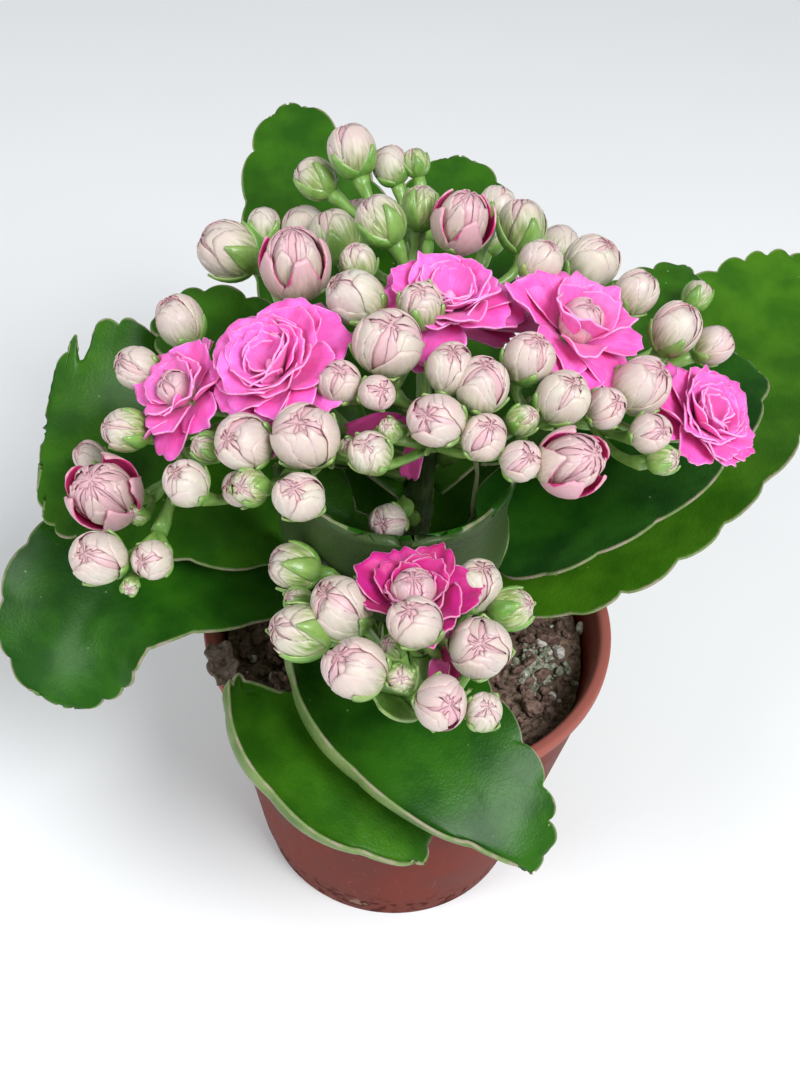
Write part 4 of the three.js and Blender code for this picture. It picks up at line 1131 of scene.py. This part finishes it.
def folded_ball(skin, stand, radius, rng, blush, tall, gape=0.0, green=0.0, whorls=SHUT):
    """A ball of folded petals: broad outer ones that overlap, closer ones inside them, and a ragged heart.

    `gape` draws the tips of its two outer whorls back."""
    hand = rng.choice((-1, 1))
    start = rng.uniform(0, 2 * math.pi)
    ball_core(skin, stand, radius, blush + 0.25, tall)
    for order, (count, wide, tip, off, ragged, extra) in enumerate(whorls):
        for k in range(count):
            bearing = start + 2 * math.pi * k / count + 2.4 * order + rng.uniform(-0.25, 0.25)
            end = math.pi * (tip + rng.uniform(-0.45, 0.25) * (1 - tip) - gape * 0.08 * (order < 2))
            lean = hand * rng.uniform(0.010, 0.022)

            def swell(s, v, off=off, lean=lean):
                crown = 0.02 * (1 - v**2) * np.sin(math.pi * s) ** 0.7
                return off + lean * v * rise(0.0, 0.4, s) + crown

            petal = {"bearing": bearing, "root": 0.1, "tip": end, "wide": wide, "half": 0.09, "tall": tall}
            petal.update({"shape": petal_shape, "swell": swell, "ragged": ragged, "green": 0.4 * green})
            petal["pink"] = (blush + extra, blush + extra + 0.3)
            petal["chance"] = rng.uniform()
            petal["round"] = rng.uniform(0.14, 0.34)
            shell(skin, stand, radius, petal, BUD)


def sepals(skin, stand, radius, rng, tip, wide, tall=BALL_TALL):
    """The green sepals that clasp a ball from below."""

    def swell(s, v):
        return 0.985 + 0.04 * (1 - v**2) + 0.05 * s**2

    start = rng.uniform(0, 2 * math.pi)
    for k in range(SEPALS):
        sepal = {"root": 0.06, "wide": wide, "half": 0.28, "tall": tall, "round": 0.0, "pink": (0, 0)}
        sepal.update({"shape": sepal_shape, "swell": swell})
        sepal["bearing"] = start + 2 * math.pi * k / SEPALS + rng.uniform(-0.12, 0.12)
        sepal["tip"] = math.pi * tip * rng.uniform(0.9, 1.1)
        sepal["chance"] = rng.uniform(0, 0.5)
        shell(skin, stand, radius, sepal, GREENS, 9, 9)


def pedicel(skin, knot, stand, radius, end):
    """The stalk of one flower, which widens under it and ends that far past the flower's foot."""
    last = stand.foot + stand.axis * end
    reach = np.linalg.norm(last - knot)
    points = (knot, mix(knot, last - stand.axis * 0.45 * reach, 0.5), last - stand.axis * 0.35 * reach, last)
    thick = PEDICEL_RADIUS * (1 + 0.06 * radius)
    radii = [1.05 * thick, thick, 0.95 * thick, 0.95 * thick, thick, 1.1 * thick, 1.6 * thick, 0.40 * radius]
    skin.loft(tube_rings(points, radii, 12), np.array((0.5, 0, 0.3, 0)), GREENS)


def closed_bud(skin, stand, knot, flower, rng):
    """A ball of folded petals. The greener it is, the more of it its sepals clasp."""
    radius = flower["radius"]
    green = flower.get("green", 0)
    wide = BUD_GIRTH * radius
    tall = BALL_TALL / BUD_GIRTH
    folded_ball(skin, stand, wide, rng, rng.uniform(0.0, 0.16) * (1 - green), tall, green=green)
    reach = mix(0.46, 0.76, green) * rng.uniform(0.85, 1.15)
    sepals(skin, stand, wide, rng, reach, mix(0.66, 0.80, green), tall)
    pedicel(skin, knot, stand, radius, 0.12 * radius)


def half_open_bud(skin, stand, knot, flower, rng):
    """A ball that shows inside a few pink petals that have begun to stand away from it."""
    radius = 0.94 * flower["radius"]
    folded_ball(skin, stand, 0.84 * radius, rng, blush=0.10, tall=1.34, whorls=OPENING)
    start = rng.uniform(0, 2 * math.pi)
    for k in range(5):
        bearing = start + 2 * math.pi * k / 5 + rng.uniform(-0.2, 0.2)
        stray = rng.uniform(0.02, 0.15)

        def swell(s, v, stray=stray):
            return 1.0 + stray * s**2 + 0.04 * (1 - v**2) * (1 - s)

        petal = {"bearing": bearing, "root": 0.12, "wide": 0.64, "half": 0.2, "tall": BALL_TALL}
        petal.update({"shape": petal_shape, "swell": swell, "ragged": 0.03, "round": 0.3})
        petal["tip"] = math.pi * rng.uniform(0.66, 0.80)
        petal["chance"] = rng.uniform()
        petal["pink"] = (rng.uniform(0.10, 0.5), 1.0)
        shell(skin, stand, radius, petal, BUD, 14, 13)
    sepals(skin, stand, radius, rng, 0.3, 0.5)
    pedicel(skin, knot, stand, radius, 0.12 * radius)


def petal_sheet(petal, rng):
    """The flat grid of an open petal: how far out it runs (0 to 1), along and across, and its half width."""
    s, v = unit_grid(15, 17)
    v = v[:, ::-1]
    teeth = 0.028 * np.sin(8 * v + rng.uniform(0, 6)) + 0.022 * np.sin(15 * v + rng.uniform(0, 6))
    point = 0.07 * np.exp(-((v - rng.uniform(-0.2, 0.2)) ** 2) / 0.015)
    blunt = mix(0.30, 0.55, petal["point"]) * np.abs(v) ** mix(2.6, 1.5, petal["point"])
    run = s * (1 - blunt + (teeth + point) * s**3 * (1 - 0.5 * np.abs(v)))
    across = petal["width"] * v * (0.24 + 0.76 * np.sin(math.pi / 2 * np.minimum(run / 0.75, 1)))
    return s, v, run, across


def blade_petal(skin, stand, petal, rng):
    """An open petal: it starts near the axis, widens, bends outwards and is ruffled at its toothed end."""
    s, v, run, across = petal_sheet(petal, rng)
    length = petal["length"]
    slope = petal["tilt"] - petal["bend"] * run**1.5
    ds = np.diff(run, axis=0, prepend=0 * run[:1]) * length
    out = petal["start"] + np.cumsum(np.cos(slope) * ds, axis=0)
    up = petal["lift"] + np.cumsum(np.sin(slope) * ds, axis=0)
    cup = petal["cup"] * across**2 / petal["width"]
    ruffle = petal["ruffle"] * s**2 * np.sin(4.6 * v + rng.uniform(0, 6)) * (0.4 + np.abs(v))
    raised = cup + ruffle + petal["twist"] * across * s
    raised += 0.02 * length * np.sin(9 * v * s + 5 * petal["chance"]) * s
    out = out - raised * np.sin(slope)
    up = up + raised * np.cos(slope)
    bearing = petal["bearing"]
    x = out * math.cos(bearing) - across * math.sin(bearing)
    y = out * math.sin(bearing) + across * math.cos(bearing)
    places = stand.put(np.stack([x, y, up], axis=-1))
    edge = np.maximum(np.abs(v) ** 7, s**16)
    shade = np.stack([s, edge, petal["chance"] + 0 * s, petal["pale"] * (1 - 0.6 * s)], axis=-1)
    under = shade.copy()
    under[..., 3] = np.minimum(shade[..., 3] + 0.12, 1)
    blade = np.stack([across, run * length, 60 * petal["chance"] + 0 * s], axis=-1)
    skin.sheet(places, 0.17 * (1 - 0.55 * np.abs(v) ** 4), shade, blade, PETALS, under)


def bloom_looks(petals, reach, point, heart, tilt, deep):
    return {"petals": petals, "reach": reach, "point": point, "heart": heart, "tilt": tilt, "deep": deep}


# How many petals, how far the outer ones reach, how pointed they are, the size of a closed heart, the outer
# and inner tilts, and how deep a pink.
BLOOM_LOOKS = {
    "bloom_left": bloom_looks(34, 1.20, 0.0, 0.0, (6, 72), 0.0),
    "bloom_left_outer": bloom_looks(20, 1.36, 0.2, 0.34, (4, 58), 0.08),
    "bloom_back": bloom_looks(30, 1.12, 0.3, 0.0, (6, 66), 0.0),
    "bloom_right": bloom_looks(18, 1.30, 0.5, 0.31, (0, 64), 0.0),
    "bloom_right_outer": bloom_looks(32, 1.18, 0.1, 0.0, (14, 74), 0.06),
    "bloom_front": bloom_looks(18, 1.34, 0.0, 0.46, (30, 72), 1.0),
}


def open_petal(looks, radius, inward, bearing, rng):
    """The form of one petal of a bloom. `inward` runs from 0, its outermost petal, to 1."""
    length = mix(looks["reach"], mix(0.46, 0.80, looks["heart"]), inward)
    width = mix(mix(0.58, 0.46, looks["point"]), 0.36, inward)
    return {
        "bearing": bearing,
        "length": radius * length * rng.uniform(0.88, 1.04),
        "width": radius * width * rng.uniform(0.82, 1.15),
        "point": looks["point"],
        "tilt": math.radians(mix(*looks["tilt"], inward**0.9) + rng.uniform(-11, 11)),
        "bend": math.radians(mix(26, 4, inward) + rng.uniform(-12, 12)),
        "twist": rng.uniform(-0.22, 0.22),
        "start": radius * mix(0.10, 0.10 + 0.75 * looks["heart"] ** 2, inward),
        "lift": radius * mix(-0.02, 0.22, inward),
        "cup": mix(0.18, 0.5, inward),
        "ruffle": radius * mix(0.055, 0.03, inward),
        "chance": min(1, looks["deep"] + 0.25 * rng.uniform()),
        "pale": (0.05 + 0.35 * inward) * rng.uniform(0.5, 1.2) * (1 - 0.85 * looks["deep"]),
    }


def open_flowers():
    """Each open flower with its dome, cyme by cyme."""
    found = []
    for cyme in CYMES:
        for spray in cyme["sprays"]:
            found += [(flower, cyme["dome"]) for flower in spray if flower["kind"] == "open"]
    return found


def make_bloom(flower, dome, order):
    """Petals set round a turn of the golden angle each, on sepals and a small receptacle."""
    looks = BLOOM_LOOKS[flower["name"]]
    rng = np.random.default_rng((7, order))
    stand = Stand(flower, dome)
    radius = flower["radius"]
    skin = Skin()
    first = rng.uniform(0, 2 * math.pi)
    golden = math.pi * (3 - math.sqrt(5))
    for k in range(looks["petals"]):
        bearing = first + golden * k + rng.uniform(-0.3, 0.3)
        blade_petal(skin, stand, open_petal(looks, radius, k / (looks["petals"] - 1), bearing, rng), rng)
    if looks["heart"]:
        inner = Stand(flower, dome)
        inner.foot = stand.foot + stand.axis * 0.05 * radius
        folded_ball(skin, inner, looks["heart"] * radius, rng, blush=0.28, tall=1.1, gape=0.2)
    sepals(skin, stand, 0.30 * radius, rng, 0.42, 0.6)
    receptacle = [(0.05, -0.1), (0.13, 0), (0.12, 0.3), (0.04, 0.42)]
    rings = turned_rings([(out * radius, up * radius) for out, up in receptacle], 12)
    skin.loft(stand.put(rings), np.array((0.5, 0.2, 0.2, 0.8)), PETALS)
    skin.make(flower["name"] + "_petals", FLOWER_FINISHES, "open_petals", flower["name"])


def bracts(skin, knot, away, rng, size):
    """A pair of small leaves at a fork of the stalks."""
    s, v = unit_grid(9, 7)
    for side in (-1, 1):
        reach = unit(np.cross(away, rng.normal(size=3)) * side + away * 0.9)
        beside = unit(np.cross(reach, away))
        wide = 0.26 * size * np.sin(math.pi * (0.12 + 0.87 * s)) ** 0.8
        places = knot + reach * (size * s)[..., None] + beside * (wide * v)[..., None]
        places = places + away * (0.35 * size * s**2 + 0.25 * wide * v**2)[..., None]
        shade = np.stack([s, np.abs(v), 0.2 + 0 * s, 0 * s], axis=-1)
        blade = np.stack([wide * v, size * s, rng.uniform(0, 50) + 0 * s], axis=-1)
        skin.sheet(places, 0.3, shade, blade, GREENS)


def strap(skin, start, tip, wide, seed, finish):
    """A loose petal with a toothed end, of a flower hidden in the head, or a green bract with a round end."""
    rng = np.random.default_rng(seed)
    s, v = unit_grid(16, 11)
    points = (start, mix(start, tip, 0.35) + vec(0, -1, 2), mix(start, tip, 0.8) + vec(0, -1, 1), tip)
    across = unit(np.cross(tip - start, UPWARD - AHEAD))
    if finish == PETALS:
        half_width = wide * rise(-0.3, 0.5, s)
        teeth = 0.06 * np.sin(9 * v + seed) * s**6
        # Loose petals take the deep pink: painted shade, as they lie deep in the head.
        half, chance, pale = 0.17, rng.uniform(0.7, 1.0), 0.1
    else:
        half_width = wide * np.sin(math.pi * (0.08 + 0.86 * s)) ** 0.6
        teeth = 0
        half, chance, pale = 0.3, rng.uniform(0.0, 0.3), 0
    places = bezier(points, s * (1 + teeth - 0.05 * v**2)) + across * (half_width * v)[..., None]
    places = places - AHEAD * (0.3 * wide * v**2 * s + 0.25 * np.sin(6 * s + 3 * v))[..., None]
    edge = np.maximum(np.abs(v) ** 7, s**16)
    shade = np.stack([s, edge, chance + 0 * s, pale * s], axis=-1)
    blade = np.stack([half_width * v, 12 * s, seed + 0 * s], axis=-1)
    skin.sheet(places, half, shade, blade, finish)


def bent(start, elbow, end):
    """The four points of a curve that is drawn towards an elbow."""
    return (start, mix(start, elbow, 2 / 3), mix(end, elbow, 2 / 3), end)


def branch(skin, points, radius, swellings, sides):
    """A green stalk. Its `swellings` multiply its radius, from its foot to its end."""
    rings = tube_rings(points, [radius * swelling for swelling in swellings], sides)
    skin.loft(rings, np.array((0.5, 0, 0.25, 0)), GREENS)


def make_spray(skin, hub, spray, stands, rng):
    """A side stalk from the hub to a knot, with bracts there, and its few flowers."""
    feet = [stand.foot - stand.axis * 7 for stand in stands]
    knot = mix(np.mean(feet, axis=0), hub, 0.3)
    below = mix(hub, knot, 0.5) - vec(0, 0, 1.5)
    branch(skin, bent(hub, below, knot), SPRAY_RADIUS, [1.3, 1.05, 1.0, 1.0, 1.1, 1.6, 1.7], 14)
    bracts(skin, knot, unit(knot - hub + vec(0, 0, 2)), rng, rng.uniform(3.5, 5))
    for flower, stand in zip(spray, stands):
        if flower["kind"] == "open":
            pedicel(skin, knot, stand, 0.25 * flower["radius"], -0.16 * flower["radius"] - 0.3)
        elif flower["kind"] == "half open":
            half_open_bud(skin, stand, knot, flower, rng)
        else:
            closed_bud(skin, stand, knot, flower, rng)


def loose_pieces(skin, hub, cyme):
    """Petals of flowers hidden in the head, small bracts, and dry threads that hang under it."""
    for finish, kind in ((PETALS, "straps"), (GREENS, "leaflets")):
        for number, (across, down, height, wide) in enumerate(cyme.get(kind, [])):
            tip = seen_at((across, down), height)
            strap(skin, mix(hub, tip, 0.3), tip, wide, number, finish)
    for first, last in cyme.get("threads", []):
        ends = seen_at(*first), seen_at(*last)
        points = (ends[0], mix(*ends, 1 / 3) + RIGHTWARD, mix(*ends, 2 / 3) - RIGHTWARD, ends[1])
        rings = tube_rings(points, [0.5, 0.4, 0.45, 0.4, 0.5, 0.6], 10)
        skin.loft(rings, np.array((0.5, 0, 0.9, 0.5)), GREENS)


def make_cyme(cyme, order):
    """A flower stalk that forks at a hub into sprays, each with a few flowers."""
    rng = np.random.default_rng((11, order))
    stands = [[Stand(flower, cyme["dome"]) for flower in spray] for spray in cyme["sprays"]]
    middle = np.mean([stand.foot for spray in stands for stand in spray], axis=0)
    hub = cyme.get("hub", mix(middle, vec(0, 0, cyme["from"] + 4), 0.42))
    start = on_stem(cyme["from"], hub, 1.05)
    elbow = cyme.get("elbow", mix(start, hub, 0.5) - vec(0, 0, 2))
    skin = Skin()
    branch(skin, bent(start, elbow, hub), STALK_RADIUS, [1.25, 1.1, 1.0, 0.95, 0.95, 1.0, 1.1, 1.35], 16)
    for spray, spray_stands in zip(cyme["sprays"], stands):
        make_spray(skin, hub, spray, spray_stands, rng)
    loose_pieces(skin, hub, cyme)
    skin.make(cyme["name"] + "_buds", FLOWER_FINISHES, "buds", cyme["name"])


# ------------------------------------------------------------------------------- floor, light, camera
def floor():
    reach = FLOOR_REACH * MM
    corners = [(-reach, -reach, 0), (reach, -reach, 0), (reach, reach, 0), (-reach, reach, 0)]
    mesh = bpy.data.meshes.new("studio_floor")
    mesh.from_pydata(corners, [], [(0, 1, 2, 3)])
    paint = Paint("studio_floor")
    cloud = paint.noise(paint.in_space(), 90, 2)
    mesh.materials.append(paint.finish(paint.blend(cloud, (0.88, 0.88, 0.88), (0.91, 0.91, 0.91)), 0.9))
    piece = bpy.data.objects.new("studio_floor", mesh)
    bpy.context.scene.collection.objects.link(piece)


def lamp(name, place, towards, size, watts, colour):
    """A round soft lamp, whose place and size are in metres."""
    light = bpy.data.lights.new(name, "AREA")
    light.shape = "DISK"
    light.size = size
    light.energy = watts
    light.color = colour
    made = bpy.data.objects.new(name, light)
    made.location = place
    made.rotation_euler = (towards - made.location).to_track_quat("-Z", "Y").to_euler()
    bpy.context.scene.collection.objects.link(made)


def studio_light():
    middle = Vector((0, 0, 0.1))
    lamp("key", Vector((0.44, -0.52, 0.90)), middle, 0.50, 11.5, (0.95, 0.98, 1.0))
    lamp("fill", Vector((-0.62, -0.50, 0.78)), middle, 0.40, 4.0, (0.92, 0.97, 1.0))
    world = bpy.data.worlds.new("studio")
    world.use_nodes = True
    sky = world.node_tree.nodes["Background"]
    sky.inputs["Color"].default_value = (0.95, 0.97, 1.0, 1)
    sky.inputs["Strength"].default_value = 0.40
    bpy.context.scene.world = world
    bpy.context.scene.view_settings.view_transform = "Standard"


def camera():
    """The picture's own view: level with its long side, and rolled by a few degrees."""
    lens = bpy.data.cameras.new("front")
    lens.sensor_fit = "AUTO"
    lens.sensor_width = SENSOR_WIDTH
    lens.lens = FOCAL * SENSOR_WIDTH / PICTURE[1]
    lens.clip_start = 0.01
    made = bpy.data.objects.new("front", lens)
    right = RIGHTWARD * math.cos(ROLL) + UPWARD * math.sin(ROLL)
    up = UPWARD * math.cos(ROLL) - RIGHTWARD * math.sin(ROLL)
    columns = [right, up, -AHEAD, EYE * MM]
    rows = [[float(column[row]) for column in columns] for row in range(3)]
    made.matrix_world = Matrix(rows + [[0, 0, 0, 1]])
    bpy.context.scene.collection.objects.link(made)
    bpy.context.scene.camera = made


# ---------------------------------------------------------------------------------------------- making
pot()
soil()
scatter("bark", BARK_FINISH, 620, (1.2, 5.2), 0.4, seed=100)
scatter("perlite", PERLITE_FINISH, 120, (0.9, 2.6), 0.8, seed=900, spots=PERLITE_SPOTS)
scatter("moss_clump", MOSS_FINISH, 190, (0.7, 2.4), 0.8, seed=1500, near=MOSS_SPOT)
dried_scrap()
main_stem()
for number, each in enumerate(LEAVES):
    make_leaf(each, number + 1)
for number, (flower, dome) in enumerate(open_flowers()):
    make_bloom(flower, dome, number)
for number, cyme in enumerate(CYMES):
    make_cyme(cyme, number)
floor()
studio_light()
camera()
